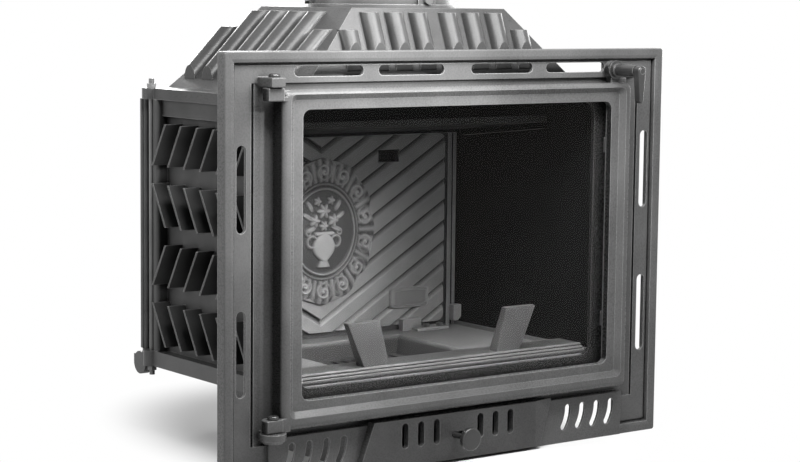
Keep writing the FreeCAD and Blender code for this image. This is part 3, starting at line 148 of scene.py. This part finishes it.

# each finish: tone and its spread, roughness, grain of the casting, width and tone of worn edges
# with a painted highlight; corner shade as reach and share of the tone left as painted shade in a piece's own
# corners; each darkening reads a coordinate or a normal along a direction and says where it ends
# (limit, blur) and how much of the tone is left where it lies; some are painted shade, marked below
graphitePaint = {
    "tone": 0.080, "spread": 0.013, "rough": (0.22, 0.34), "grain": 520, "bump": 0.16,
    "metallic": 0.0, "specular": 0.22, "edge": 0.0018, "wearAndHighlight": 0.25, "cornerShade": (0.016, 0.20),
}
wallCasting = {
    "tone": 0.072, "spread": 0.014, "rough": (0.28, 0.42), "grain": 480, "bump": 0.18, "metallic": 0.0,
    "edge": 0.0016,
}
steelRod = {
    "spread": 0.03, "rough": (0.32, 0.46), "grain": 900, "bump": 0.06, "metallic": 0.6, "specular": 0.4,
    "edge": 0.0006,
}
metalLooks = {
    "graphiteIron": graphitePaint,
    "frameIron": {
        **graphitePaint,
        # darker on the land inside the door's seal: deeper than the panel, and within the rope's ring
        "darkening": [{"by": "Object", "along": (0, 1, 0), "limit": -0.1775, "blur": -0.0008, "left": 0.14,
                  "besides": [
                      {"by": "Object", "along": (1, 0, 0), "both": True, "limit": 0.296, "blur": 0.001,
                       "left": 0.14},
                      {"by": "Object", "along": (0, 0, 1), "limit": 0.092, "blur": -0.001, "left": 0.14},
                      {"by": "Object", "along": (0, 0, 1), "limit": 0.519, "blur": 0.001, "left": 0.14},
                  ]}],
    },
    "doorIron": {
        **graphitePaint,
        # painted shade on the side faces of the door and of its window
        "darkening": [{"by": "Normal", "along": (1, 0, 0), "both": True, "limit": 0.86, "blur": -0.08,
                  "left": 0.15}],
    },
    "sillIron": {
        "tone": 0.085, "spread": 0.013, "rough": (0.24, 0.38), "grain": 520, "bump": 0.10,
        "metallic": 0.0, "specular": 0.3, "edge": 0.0004, "wearAndHighlight": 0.05, "cornerShade": (0.010, 0.06),
        # painted shade between the ribs
        "darkening": [{"by": "Object", "along": (0, -0.7071, 0.7071), "limit": 0.2133, "blur": 0.0010,
                  "left": 0.12}],
    },
    "guardIron": {
        "tone": 0.045, "spread": 0.010, "rough": (0.26, 0.40), "grain": 520, "bump": 0.16,
        "metallic": 0.0, "specular": 0.22, "edge": 0.0012, "wearAndHighlight": 0.16,
    },
    "hearthIron": {
        "tone": 0.135, "spread": 0.018, "rough": (0.30, 0.45), "grain": 480, "bump": 0.18,
        "metallic": 0.0, "specular": 0.22, "edge": 0.0016, "wearAndHighlight": 0.06,
        # the funnel over the grate, and the outer ends past the walls
        "hollow": {"middle": (0, 0.012, 0), "radius": 0.172, "rim": 0.002, "top": 0.1275, "deep": 0.006,
                   "left": 0.25},
        "darkening": [{"by": "Object", "along": (1, 0, 0), "both": True, "limit": 0.2652, "blur": -0.0004,
                  "left": 0.53}],
    },
    "drawerIron": {
        "tone": 0.045, "spread": 0.009, "rough": (0.22, 0.34), "grain": 520, "bump": 0.12,
        "metallic": 0.0, "specular": 0.22, "edge": 0.0016, "wearAndHighlight": 0.15,
    },
    "grateIron": {
        "tone": 0.030, "spread": 0.006, "rough": (0.45, 0.60), "grain": 480, "bump": 0.18,
        "metallic": 0.0, "specular": 0.15, "edge": 0.0010, "wearAndHighlight": 0.04,
    },
    "wallIron": {
        **wallCasting, "specular": 0.08, "wearAndHighlight": 0.36, "cornerShade": (0.045, 0.10),
        # the side towards the fire
        "darkening": [{"by": "Object", "along": (1, 0, 0), "both": True, "limit": 0.2685, "blur": 0.001,
                  "left": 0.05}],
    },
    "rearWallIron": {
        **wallCasting, "specular": 0.12, "wearAndHighlight": 0.09,
        "darkening": [{"by": "Object", "along": (0, 1, 0), "limit": 0.1855, "blur": 0.001, "left": 0.05}],
    },
    "hoodIron": {
        "tone": 0.043, "spread": 0.010, "rough": (0.24, 0.38), "grain": 480, "bump": 0.18,
        "metallic": 0.0, "specular": 0.22, "edge": 0.0016, "wearAndHighlight": 0.20, "cornerShade": (0.030, 0.20),
        # the underside
        "darkening": [{"by": "Normal", "along": (0, 0, 1), "limit": -0.05, "blur": 0.05, "left": 0.08}],
    },
    "firebackIron": {
        "tone": 0.20, "spread": 0.035, "rough": (0.30, 0.46), "grain": 420, "bump": 0.22,
        "metallic": 0.0, "specular": 0.25, "edge": 0.0014, "wearAndHighlight": 0.30, "cornerShade": (0.012, 0.20),
        # painted shade between the boards, and a painted shadow rising towards the baffle
        "darkening": [{"by": "Object", "along": (0, 1, 0), "limit": 0.1562, "blur": -0.0018, "left": 0.22},
                 {"by": "Object", "along": (0, 0, 1), "limit": 0.370, "blur": -0.085, "left": 0.40}],
    },
    "reliefIron": {
        "tone": 0.20, "spread": 0.035, "rough": (0.30, 0.46), "grain": 420, "bump": 0.12,
        "metallic": 0.0, "specular": 0.3, "edge": 0.0008, "wearAndHighlight": 0.05, "relief": (0.0002, 0.0045),
    },
    # near black
    "nearBlackIron": {
        "tone": 0.010, "spread": 0.003, "rough": (0.70, 0.85), "grain": 420, "bump": 0.14,
        "metallic": 0.0, "specular": 0.1, "edge": 0.0012,
    },
    "blackFittings": {
        "tone": 0.024, "spread": 0.005, "rough": (0.14, 0.22), "grain": 700, "bump": 0.05,
        "metallic": 0.0, "specular": 0.50, "edge": 0.0012, "wearAndHighlight": 0.14,
    },
    "boltSteel": {**steelRod, "tone": 0.150},
    "threadedSteel": {**steelRod, "tone": 0.120, "threadPitch": 0.00125},
    "sheetSteel": {
        "tone": 0.075, "spread": 0.012, "rough": (0.4, 0.55), "grain": 800, "bump": 0.04,
        "metallic": 0.4, "specular": 0.5, "edge": 0.0005,
    },
}


def darkeningShare(tree, place, darkening):
    # one where the iron keeps its tone, and what is left of the tone where it is darkened; on some finishes
    # that is painted shade
    reach = addNode(tree, "ShaderNodeVectorMath", {1: darkening["along"]}, operation="DOT_PRODUCT")
    link(tree, place.outputs[darkening["by"]], reach.inputs[0])
    reading = reach.outputs["Value"]
    if "both" in darkening:
        reading = addMath(tree, "ABSOLUTE", reading)
    limits = (darkening["limit"] - darkening["blur"], darkening["limit"] + darkening["blur"])
    share = addRange(tree, reading, limits, (darkening["left"], 1.0))
    for other in darkening.get("besides", []):
        # darkened only where the other rules darken too
        share = addMath(tree, "MAXIMUM", share, darkeningShare(tree, place, other))
    return share


def hollowShare(tree, place, hollow):
    # darker in the funnel over the grate: below the floor's level and near its middle
    flat = addNode(tree, "ShaderNodeVectorMath", {1: (1, 1, 0)}, operation="MULTIPLY")
    away = addNode(tree, "ShaderNodeVectorMath", {1: hollow["middle"]}, operation="DISTANCE")
    split = addNode(tree, "ShaderNodeSeparateXYZ")
    link(tree, place.outputs["Object"], flat.inputs[0])
    link(tree, flat.outputs["Vector"], away.inputs[0])
    link(tree, place.outputs["Object"], split.inputs[0])
    outside = addRange(tree, away.outputs["Value"], (hollow["radius"], hollow["radius"] + hollow["rim"]),
                       (hollow["left"], 1.0))
    above = addRange(tree, split.outputs["Z"], (hollow["top"] - hollow["deep"], hollow["top"]),
                     (hollow["left"], 1.0))
    return addMath(tree, "MAXIMUM", outside, above)


def wearAndHighlightTone(tree, shade, softEdge, wearAndHighlight):
    # lighter where the bevelled normal leans away from the face's own, which is along edges: wear, and a
    # painted highlight
    facing = addNode(tree, "ShaderNodeNewGeometry")
    lean = addNode(tree, "ShaderNodeVectorMath", operation="DOT_PRODUCT")
    link(tree, softEdge.outputs["Normal"], lean.inputs[0])
    link(tree, facing.outputs["Normal"], lean.inputs[1])
    wearAndHighlightLift = addRange(tree, lean.outputs["Value"], metalSkin["wearAndHighlightLean"], (0.0, wearAndHighlight))
    return addMath(tree, "ADD", shade, wearAndHighlightLift)


def threadRidges(tree, place, pitch):
    # ridges of the thread: a sine of the height, one period per pitch
    split = addNode(tree, "ShaderNodeSeparateXYZ")
    link(tree, place.outputs["Object"], split.inputs[0])
    return addMath(tree, "SINE", addMath(tree, "MULTIPLY", split.outputs["Z"], 2 * math.pi / pitch))


def darkShares(tree, place, look):
    # shares of the tone that the darkenings, the hollow, the painted corner shade and the relief leave
    shares = [darkeningShare(tree, place, darkening) for darkening in look.get("darkening", [])]
    if "hollow" in look:
        shares.append(hollowShare(tree, place, look["hollow"]))
    if "cornerShade" in look:
        # painted shade in the piece's own corners, where its other faces hide most of the open side
        reach, left = look["cornerShade"]
        corner = addNode(tree, "ShaderNodeAmbientOcclusion", {"Distance": reach},
                         samples=metalSkin["cornerSamples"], only_local=True)
        shares.append(addRange(tree, corner.outputs["AO"], metalSkin["cornerSpan"], (left, 1.0)))
    if "relief" in look:
        # darker in the hollows of a relief and lighter on its high points, by its stored height: soot and
        # polish, with painted shade and painted highlight
        stored = addNode(tree, "ShaderNodeAttribute", attribute_name="relief")
        shares.append(addRange(tree, stored.outputs["Fac"], look["relief"], metalSkin["reliefShadeAndHighlight"]))
    return shares


def metalFinish(name, look):
    material, tree, output = newMaterial(name)
    place = addNode(tree, "ShaderNodeTexCoord")
    cloud = addNode(tree, "ShaderNodeTexNoise", metalSkin["cloud"])
    grain = addNode(tree, "ShaderNodeTexNoise", {"Scale": look["grain"], "Detail": metalSkin["grainDetail"],
                                                 "Roughness": metalSkin["grainRoughness"]})
    softEdge = addNode(tree, "ShaderNodeBevel", {"Radius": look["edge"]}, samples=metalSkin["edgeSamples"])
    bump = addNode(tree, "ShaderNodeBump", {"Strength": look["bump"], "Distance": metalSkin["bumpDepth"]})
    shader = addNode(tree, "ShaderNodeBsdfPrincipled", {"Metallic": look["metallic"],
                                                        "Specular IOR Level": look["specular"]})
    link(tree, place.outputs["Object"], cloud.inputs["Vector"])
    link(tree, place.outputs["Object"], grain.inputs["Vector"])
    link(tree, softEdge.outputs["Normal"], bump.inputs["Normal"])
    shade = addRange(tree, cloud.outputs["Fac"], metalSkin["noiseSpan"],
                     (look["tone"] - look["spread"], look["tone"] + look["spread"]))
    rough = addRange(tree, grain.outputs["Fac"], metalSkin["noiseSpan"], look["rough"])
    height = grain.outputs["Fac"]
    if "threadPitch" in look:
        height = threadRidges(tree, place, look["threadPitch"])
    # edges lighter: wear, and a painted highlight
    if "wearAndHighlight" in look:
        shade = wearAndHighlightTone(tree, shade, softEdge, look["wearAndHighlight"])
    for share in darkShares(tree, place, look):
        shade = addMath(tree, "MULTIPLY", shade, share)
    link(tree, height, bump.inputs["Height"])
    link(tree, shade, shader.inputs["Base Color"])
    link(tree, rough, shader.inputs["Roughness"])
    link(tree, bump.outputs["Normal"], shader.inputs["Normal"])
    link(tree, shader.outputs["BSDF"], output.inputs["Surface"])
    return material


# woven glass fibre, and the clear pane
ropeLook = {"weave": 900, "bump": 0.5, "bumpDepth": 0.0006, "tone": (0.035, 0.08), "rough": 0.9}
paneLook = {"tone": 0.97, "shadowTone": 0.95, "refraction": 1.12}


def ropeFinish(name, look):
    material, tree, output = newMaterial(name)
    place = addNode(tree, "ShaderNodeTexCoord")
    weave = addNode(tree, "ShaderNodeTexVoronoi", {"Scale": look["weave"]})
    bump = addNode(tree, "ShaderNodeBump", {"Strength": look["bump"], "Distance": look["bumpDepth"]})
    shader = addNode(tree, "ShaderNodeBsdfPrincipled", {"Roughness": look["rough"]})
    link(tree, place.outputs["Object"], weave.inputs["Vector"])
    link(tree, weave.outputs["Distance"], bump.inputs["Height"])
    tone = addRange(tree, weave.outputs["Distance"], (0.0, 1.0), look["tone"])
    link(tree, tone, shader.inputs["Base Color"])
    link(tree, bump.outputs["Normal"], shader.inputs["Normal"])
    link(tree, shader.outputs["BSDF"], output.inputs["Surface"])
    return material


def glassFinish(name, look):
    # shadow rays pass straight through the pane
    material, tree, output = newMaterial(name)
    path = addNode(tree, "ShaderNodeLightPath")
    clear = addNode(tree, "ShaderNodeBsdfTransparent", {"Color": grey(look["shadowTone"])})
    pane = addNode(tree, "ShaderNodeBsdfPrincipled", {"Base Color": grey(look["tone"]), "Roughness": 0.0,
                                                      "IOR": look["refraction"], "Transmission Weight": 1.0})
    mix = addNode(tree, "ShaderNodeMixShader")
    link(tree, path.outputs["Is Shadow Ray"], mix.inputs["Fac"])
    link(tree, pane.outputs["BSDF"], mix.inputs[1])
    link(tree, clear.outputs["BSDF"], mix.inputs[2])
    link(tree, mix.outputs["Shader"], output.inputs["Surface"])
    return material


finishes = {name: metalFinish(name, look) for name, look in metalLooks.items()}
finishes["sealingRope"] = ropeFinish("sealingRope", ropeLook)
finishes["paneGlass"] = glassFinish("paneGlass", paneLook)

slotFinish = {
    "graphite_iron": "graphiteIron",
    "firebox_iron": "firebackIron",
    "fittings": "blackFittings",
    "bolt_steel": "boltSteel",
    "sheet_steel": "sheetSteel",
    "sealing_rope": "sealingRope",
    "glass": "paneGlass",
}
nodeFinish = {
    "left_wall": "wallIron",
    "right_wall": "wallIron",
    "rear_wall": "rearWallIron",
    "hood": "hoodIron",
    "hood_ribs": "hoodIron",
    "baffle_plate": "nearBlackIron",
    "base_plate": "hearthIron",
    "grate": "grateIron",
    "front_frame": "frameIron",
    "door_frame": "doorIron",
    "front_sill": "sillIron",
    "log_guard": "guardIron",
    "drawer_front": "drawerIron",
    "tie_rods": "threadedSteel",
}


def dressNodes():
    for part in frame["record"]["subparts"]:
        name = part["node"]
        finish = nodeFinish.get(name, slotFinish[part["material_slot"]])
        nodes[name].data.materials.clear()
        nodes[name].data.materials.append(finishes[finish])


dressNodes()
print("finishes given:", len(finishes))


# surfaces worked out on grids
def addPiece(name, points, faces, finish, body):
    mesh = bpy.data.meshes.new(name)
    mesh.from_pydata(points.tolist(), [], faces)
    mesh.polygons.foreach_set("use_smooth", np.ones(len(faces), bool))
    mesh.materials.append(finishes[finish])
    mesh.update()
    piece = bpy.data.objects.new(name, mesh)
    scene.collection.objects.link(piece)
    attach(piece, body)
    return piece


def gridFaces(rows, columns, closeRows):
    # quads between neighbours; columns always join up, rows only on a ring
    cell = np.arange(rows * columns).reshape(rows, columns)
    here = cell if closeRows else cell[:-1]
    above = np.roll(cell, -1, 0) if closeRows else cell[1:]
    return np.stack([here, np.roll(here, -1, 1), np.roll(above, -1, 1), above], -1).reshape(-1, 4)


def signedPower(wave, power):
    # squares off a cosine or sine: its sign kept, its size raised to a power
    return np.sign(wave) * np.abs(wave) ** power


# sealing rope round the door and woven tape round the pane
ringLooks = {
    "sealingBraid": {"node": "door_rope", "width": 0.0080, "radius": 0.0045, "step": 0.0016, "sides": 22,
                     "pitch": 0.011, "strands": 3, "relief": 0.11, "square": 0.75},
    "paneTape": {"node": "glass_gasket", "width": 0.0065, "radius": 0.0090, "step": 0.0020, "sides": 16,
                 "pitch": 0.006, "strands": 2, "relief": 0.06, "square": 0.55},
}
cornerPoints = 13


def roundedPath(halfWidth, halfHeight, radius, step):
    # rectangle with quarter-circle corners, walked at even steps; gives place and outward direction
    quarter = np.linspace(0, math.pi / 2, cornerPoints)
    turn = np.concatenate([quarter + k * math.pi / 2 for k in range(4)])
    sideX = np.repeat([1, -1, -1, 1], cornerPoints)
    sideZ = np.repeat([1, 1, -1, -1], cornerPoints)
    outX, outZ = np.cos(turn), np.sin(turn)
    across = sideX * (halfWidth - radius) + radius * outX
    up = sideZ * (halfHeight - radius) + radius * outZ
    ring = [np.append(v, v[0]) for v in (across, up, outX, outZ)]
    length = np.concatenate([[0], np.cumsum(np.hypot(np.diff(ring[0]), np.diff(ring[1])))])
    count = int(length[-1] / step)
    walk = np.arange(count) * length[-1] / count
    return [np.interp(walk, length, v) for v in ring] + [walk, length[-1]]


def braidedRing(name, look):
    # squared-off oval section swept round the path; two families of helical strands cross on its surface:
    # swell = 1 + relief * max(sin(k s + m a), sin(k s - m a)), with s along the path and a round the section
    low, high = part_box(look["node"])
    half = look["width"] / 2
    x, z, outX, outZ, s, total = roundedPath((high.x - low.x) / 2 - half, (high.z - low.z) / 2 - half,
                                             look["radius"], look["step"])
    k = 2 * math.pi * round(total / look["pitch"]) / total
    a = np.arange(look["sides"]) * 2 * math.pi / look["sides"]
    walked, wound = k * s[:, None], look["strands"] * a
    strand = np.maximum(np.sin(walked + wound), np.sin(walked - wound))
    swell = (1 + look["relief"] * strand) / (1 + look["relief"])
    sideways = half * signedPower(np.cos(a), look["square"]) * swell
    deep = (high.y - low.y) / 2 * signedPower(np.sin(a), look["square"]) * swell
    points = np.stack([(low.x + high.x) / 2 + x[:, None] + outX[:, None] * sideways,
                       (low.y + high.y) / 2 + deep,
                       (low.z + high.z) / 2 + z[:, None] + outZ[:, None] * sideways], -1).reshape(-1, 3)
    faces = gridFaces(len(s), look["sides"], True).tolist()
    piece = addPiece(name, points, faces, "sealingRope", "door")
    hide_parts(look["node"])


for ringName, ringLook in ringLooks.items():
    braidedRing(ringName, ringLook)
print("rope and tape laid")


# cast relief on the fireback: oval with a scrolled border and a vase of flowers, and a bare plate low on the
# right; the vase, flowers and leaves are in millimetres from the oval's middle, all else in metres or shares
medallion = {
    "height": 0.167,
    "half": (0.095, 0.111),
    "grid": (120, 336),
    "innermost": 0.004,
    "crowding": 0.85,
    "proud": 0.0004,
    "sink": 0.006,
    "rimFade": (0.05, 0.15),
    "lobes": (12, 0.95, 0.075),
    "rings": ((0.600, 0.016, 0.0040), (0.665, 0.012, 0.0028)),
    "fieldEdge": (0.585, 0.02),
    "fieldRise": 2,
    "borderEdge": (0.685, 0.02),
    "scrolls": {"count": 14, "at": 0.845, "turn": 0.0088, "reach": 0.0150, "relief": 0.0055, "sharp": 1.5,
                "eye": (0.0022, 0.00638)},
    "sprays": (21, 0.0030),
    "vase": {
        "belly": {"low": -47, "high": -4, "neck": 5, "swell": 17, "roundness": 0.8, "relief": 0.0070},
        "foot": {"low": -57, "high": -47, "half": 13, "taper": 0.5, "relief": 0.0048},
        "lip": {"at": -5, "half": 17, "thick": 3.2, "relief": 0.0066},
        # each loop: across, up, radius, width, relief
        "handles": ((22, -17, 8.5, 2.2, 0.0042), (29, -3, 4, 1.8, 0.0034)),
    },
    # each flower: across, up, size, petals
    "flowers": ((0, 30, 13, 6), (-17, 15, 11, 5), (17, 15, 11, 5), (-12, 45, 8, 5), (13, 46, 8, 5),
                (0, 7, 9, 6)),
    "petal": {"wave": 0.18, "fold": 0.38, "relief": 0.0062, "eye": (2.2, 0.0020)},
    # each leaf: across, up, angle
    "leaves": ((-30, 22, 150), (30, 22, 30), (-26, 38, 125), (26, 38, 55), (-24, 2, 200), (24, 2, -20)),
    "leaf": {"long": 11, "wide": 4.2, "relief": 0.0042, "vein": (0.9, 0.0014)},
}
barePlate = {
    "place": (0.1693, 0.1797),
    "boardDepth": 0.004,
    "half": (0.039, 0.0165),
    "grid": (40, 160),
    "innermost": 0.01,
    "corner": 0.28,
    "thick": 0.0026,
    "rimFade": (0.04, 0.25),
    "rim": (0.90, 0.05, 0.0009),
    "panel": (0.032, 0.0125, 0.24, 0.07, 0.0011),
}


def ridge(distance, width, height):
    return height * np.exp(-(distance / width) ** 2)


def dome(share, height):
    return height * np.sqrt(np.clip(1 - share ** 2, 0, 1))


def vaseParts(x, z, vase):
    # belly as a sine of the height, tapering foot, bar of a lip, and two loops for each handle
    belly, foot, lip = vase["belly"], vase["foot"], vase["lip"]
    risen = np.clip((z - belly["low"]) / (belly["high"] - belly["low"]), 0, 1)
    girth = belly["neck"] + belly["swell"] * np.sin(risen * math.pi) ** belly["roundness"]
    inBelly = (z > belly["low"]) & (z < belly["high"])
    inFoot = (z > foot["low"]) & (z < foot["high"])
    footHalf = foot["half"] - foot["taper"] * (z - foot["low"])
    parts = [dome(np.where(inBelly, x / girth, 1), belly["relief"]),
             dome(np.where(inFoot, x / footHalf, 1), foot["relief"]),
             dome(np.where(np.abs(x) < lip["half"], (z - lip["at"]) / lip["thick"], 1), lip["relief"])]
    for side in (-1, 1):
        for across, up, radius, width, relief in vase["handles"]:
            parts.append(ridge(np.hypot(x - side * across, z - up) - radius, width, relief))
    return parts


def leafRelief(x, z, leafX, leafZ, angle, leaf):
    # long dome with a furrow down its middle
    lean = math.radians(angle)
    along = (x - leafX) * math.cos(lean) + (z - leafZ) * math.sin(lean)
    across = (z - leafZ) * math.cos(lean) - (x - leafX) * math.sin(lean)
    share = np.hypot(along / leaf["long"], across / leaf["wide"])
    return dome(share, leaf["relief"]) - ridge(across, *leaf["vein"])


def flowerRelief(x, z, flowerX, flowerZ, size, petals, petal):
    # dome with a waved edge, folded between the petals, and a bead in its middle
    r = np.hypot(x - flowerX, z - flowerZ)
    a = np.arctan2(z - flowerZ, x - flowerX)
    edge = size * (1 - petal["wave"] + petal["wave"] * np.cos(petals * a))
    folds = 1 - petal["fold"] + petal["fold"] * np.abs(np.cos(petals * a / 2))
    return dome(r / edge, petal["relief"]) * folds + ridge(r, *petal["eye"])


def flowerVase(x, z, look):
    # the highest of the vase, leaves and flowers at each point
    parts = vaseParts(x, z, look["vase"])
    parts += [leafRelief(x, z, *leaf, look["leaf"]) for leaf in look["leaves"]]
    parts += [flowerRelief(x, z, *flower, look["petal"]) for flower in look["flowers"]]
    return np.maximum.reduce(parts)


def scrolledBorder(x, z, share, look):
    # a ring of spirals, turned by hands in pairs: ridge height follows cos(hand * angle - 2 pi r / turn)
    scrolls = look["scrolls"]
    halfX, halfZ = look["half"]
    height = np.zeros_like(x)
    for k in range(scrolls["count"]):
        around = (k + 0.5) * 2 * math.pi / scrolls["count"]
        dx = x - scrolls["at"] * halfX * math.cos(around)
        dz = z - scrolls["at"] * halfZ * math.sin(around)
        hand = 1 if k % 2 else -1
        r = np.hypot(dx, dz)
        wave = 0.5 + 0.5 * np.cos(hand * (np.arctan2(dz, dx) - around) - 2 * math.pi * r / scrolls["turn"])
        spiral = scrolls["relief"] * wave ** scrolls["sharp"] * np.exp(-(r / scrolls["reach"]) ** 4)
        height = np.maximum.reduce([height, spiral, ridge(r, *scrolls["eye"])])
    sprayCount, sprayHeight = look["sprays"]
    sprays = sprayHeight * np.abs(np.cos(sprayCount * np.arctan2(z / halfZ, x / halfX))) ** 2
    start, blur = look["borderEdge"]
    return np.maximum(height, sprays) * np.clip((share - start) / blur, 0, 1)


def closedRelief(name, shell, heights, backY):
    # rings of points from the middle of the front to the edge, a skirt back to backY, and a pole at each end;
    # the height of each point is stored for the finish
    skirt = shell[-1:].copy()
    skirt[..., 1] = backY
    rings = np.concatenate([shell, skirt])
    rises = np.concatenate([heights, heights[-1:]])
    rows, columns = rings.shape[:2]
    points = np.concatenate([rings.reshape(-1, 3), rings[:1].mean(1), rings[-1:].mean(1)])
    start = np.arange(columns)
    following = np.roll(start, -1)
    last = (rows - 1) * columns
    sides = gridFaces(rows, columns, False)[:, ::-1]
    front = np.stack([np.full(columns, rows * columns), start, following], -1)
    back = np.stack([np.full(columns, rows * columns + 1), last + following, last + start], -1)
    faces = sides.tolist() + front.tolist() + back.tolist()
    piece = addPiece(name, points, faces, "reliefIron", "firebox")
    stored = piece.data.attributes.new("relief", "FLOAT", "POINT")
    stored.data.foreach_set("value", np.concatenate([rises.ravel(), rises[:1].mean(1), rises[-1:].mean(1)]))


def polarGrid(look, spacing=1):
    # shares of the way from the middle to the edge, as a column, and angles round it, as a row
    rows, columns = look["grid"]
    share = (np.linspace(look["innermost"], 1, rows) ** spacing)[:, None]
    return share, (np.arange(columns) * 2 * math.pi / columns)[None, :]


def castMedallion(look):
    # polar grid: share of the way to a lobed oval edge, and angle; the height goes towards the front
    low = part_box("fireback")[0]
    middle = low.z + look["height"]
    q, angle = polarGrid(look, look["crowding"])
    halfX, halfZ = look["half"]
    count, base, swing = look["lobes"]
    edge = base + swing * np.abs(np.cos(count * angle / 2))
    x = halfX * edge * q * np.cos(angle)
    z = halfZ * edge * q * np.sin(angle)
    share = np.hypot(x / halfX, z / halfZ)
    rings = sum(ridge(share - at, width, height) for at, width, height in look["rings"])
    end, blur = look["fieldEdge"]
    inside = flowerVase(x * 1000, z * 1000 - look["fieldRise"], look) * np.clip((end - share) / blur, 0, 1)
    height = np.maximum.reduce([rings, inside, scrolledBorder(x, z, share, look)])
    fade, least = look["rimFade"]
    front = low.y - look["proud"] - height * np.clip((1 - q) / fade, least, 1)
    closedRelief("firebackMedallion", np.stack([x, front, middle + z], -1), height, low.y + look["sink"])


def castBarePlate(look):
    # rounded rectangle as a superellipse, with a raised rim and a barrel-shaped inner ridge
    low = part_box("fireback")[0]
    q, angle = polarGrid(look)
    x = look["half"][0] * q * signedPower(np.cos(angle), look["corner"])
    z = look["half"][1] * q * signedPower(np.sin(angle), look["corner"])
    halfWidth, halfHeight, bow, width, height = look["panel"]
    barrel = np.maximum(np.abs(x) / halfWidth, np.abs(z) / (halfHeight * (1 - bow * (x / halfWidth) ** 2)))
    at, rimWidth, rimHeight = look["rim"]
    rise = look["thick"] + ridge(q - at, rimWidth, rimHeight) + ridge(barrel - 1, width, height)
    board = low.y + look["boardDepth"]
    fade, least = look["rimFade"]
    front = board - rise * np.clip((1 - q) / fade, least, 1)
    shell = np.stack([look["place"][0] + x, front, look["place"][1] + z], -1)
    closedRelief("firebackPlate", shell, rise, board + look["thick"])


castMedallion(medallion)
castBarePlate(barePlate)
print("fireback relief cast")


# pale floor, white surroundings and soft lamps
studio = {
    "floorSize": 12.0,
    "floorTone": 0.62,
    "floorFade": (0.21, 0.36),
    "shadowStretch": (1.0, 0.7, 1.0),
    "shadowMiddle": (0.0, 0.035, 0.0),
    "fill": 0.15,
    "areaLamps": {
        "topLamp": {"place": (-0.10, -0.54, 0.98), "aim": (0, -0.15, 0.38), "size": (1.00, 0.28),
                    "watts": 21},
        "sideLamp": {"place": (-2.15, 0.95, 0.95), "aim": (-0.3, 0, 0.3), "size": (1.4, 1.0), "watts": 25},
        "rightLamp": {"place": (2.10, 0.60, 0.85), "aim": (0.3, 0, 0.3), "size": (1.4, 1.0), "watts": 24},
        "rearLamp": {"place": (0.60, 2.10, 1.10), "aim": (0, 0.1, 0.3), "size": (1.2, 0.8), "watts": 30},
    },
    "innerLamp": {"place": (0.10, -1.25, 1.00), "aim": (-0.20, 0.15, 0.25), "size": 0.06, "watts": 150,
                  "cone": 26, "blend": 1.0},
}


def seenShare(tree):
    # one for what the camera sees, straight on, in metal or through glass
    path = addNode(tree, "ShaderNodeLightPath")
    straight = addMath(tree, "MAXIMUM", path.outputs["Is Camera Ray"], path.outputs["Is Transmission Ray"])
    return addMath(tree, "MAXIMUM", straight, path.outputs["Is Glossy Ray"])


def floorPaper(look):
    # paper that takes the shadow near the insert, and fades to plain white further out
    material, tree, output = newMaterial("floorPaper")
    place = addNode(tree, "ShaderNodeTexCoord")
    oval = addNode(tree, "ShaderNodeVectorMath", {1: look["shadowStretch"]}, operation="MULTIPLY")
    far = addNode(tree, "ShaderNodeVectorMath", {1: look["shadowMiddle"]}, operation="DISTANCE")
    fade = addNode(tree, "ShaderNodeMapRange", {"From Min": look["floorFade"][0],
                                                "From Max": look["floorFade"][1]},
                   interpolation_type="SMOOTHSTEP")
    paper = addNode(tree, "ShaderNodeBsdfDiffuse", {"Color": grey(look["floorTone"])})
    white = addNode(tree, "ShaderNodeEmission", {"Color": grey(1), "Strength": 1})
    mix = addNode(tree, "ShaderNodeMixShader")
    link(tree, place.outputs["Object"], oval.inputs[0])
    link(tree, oval.outputs["Vector"], far.inputs[0])
    link(tree, far.outputs["Value"], fade.inputs["Value"])
    share = addMath(tree, "MULTIPLY", seenShare(tree), fade.outputs["Result"])
    link(tree, share, mix.inputs["Fac"])
    link(tree, paper.outputs["BSDF"], mix.inputs[1])
    link(tree, white.outputs["Emission"], mix.inputs[2])
    link(tree, mix.outputs["Shader"], output.inputs["Surface"])
    return material


def addFloor(look):
    half = look["floorSize"] / 2
    corners = [(-half, -half, 0), (half, -half, 0), (half, half, 0), (-half, half, 0)]
    mesh = bpy.data.meshes.new("floor")
    mesh.from_pydata(corners, [], [(0, 1, 2, 3)])
    mesh.materials.append(floorPaper(look))
    floor = bpy.data.objects.new("floor", mesh)
    scene.collection.objects.link(floor)


def addSurroundings(look):
    world = bpy.data.worlds.new("studio")
    scene.world = world
    world.use_nodes = True
    tree = world.node_tree
    tree.nodes.clear()
    output = tree.nodes.new("ShaderNodeOutputWorld")
    sky = addNode(tree, "ShaderNodeBackground", {"Color": grey(1)})
    level = addRange(tree, seenShare(tree), (0.0, 1.0), (look["fill"], 1.0))
    link(tree, level, sky.inputs["Strength"])
    link(tree, sky.outputs["Background"], output.inputs["Surface"])


def placeLamp(name, light, lamp):
    light.energy = lamp["watts"]
    holder = bpy.data.objects.new(name, light)
    holder.location = lamp["place"]
    aim = Vector(lamp["aim"]) - Vector(lamp["place"])
    holder.rotation_euler = aim.to_track_quat("-Z", "Y").to_euler()
    scene.collection.objects.link(holder)


def addLamps(look):
    for name, lamp in look["areaLamps"].items():
        light = bpy.data.lights.new(name, "AREA")
        light.shape = "RECTANGLE"
        light.size, light.size_y = lamp["size"]
        placeLamp(name, light, lamp)
    lamp = look["innerLamp"]
    light = bpy.data.lights.new("innerLamp", "SPOT")
    light.spot_size = math.radians(lamp["cone"])
    light.spot_blend = lamp["blend"]
    light.shadow_soft_size = lamp["size"]
    placeLamp("innerLamp", light, lamp)


addFloor(studio)
addSurroundings(studio)
addLamps(studio)
scene.view_settings.view_transform = "Standard"
print("studio lit")
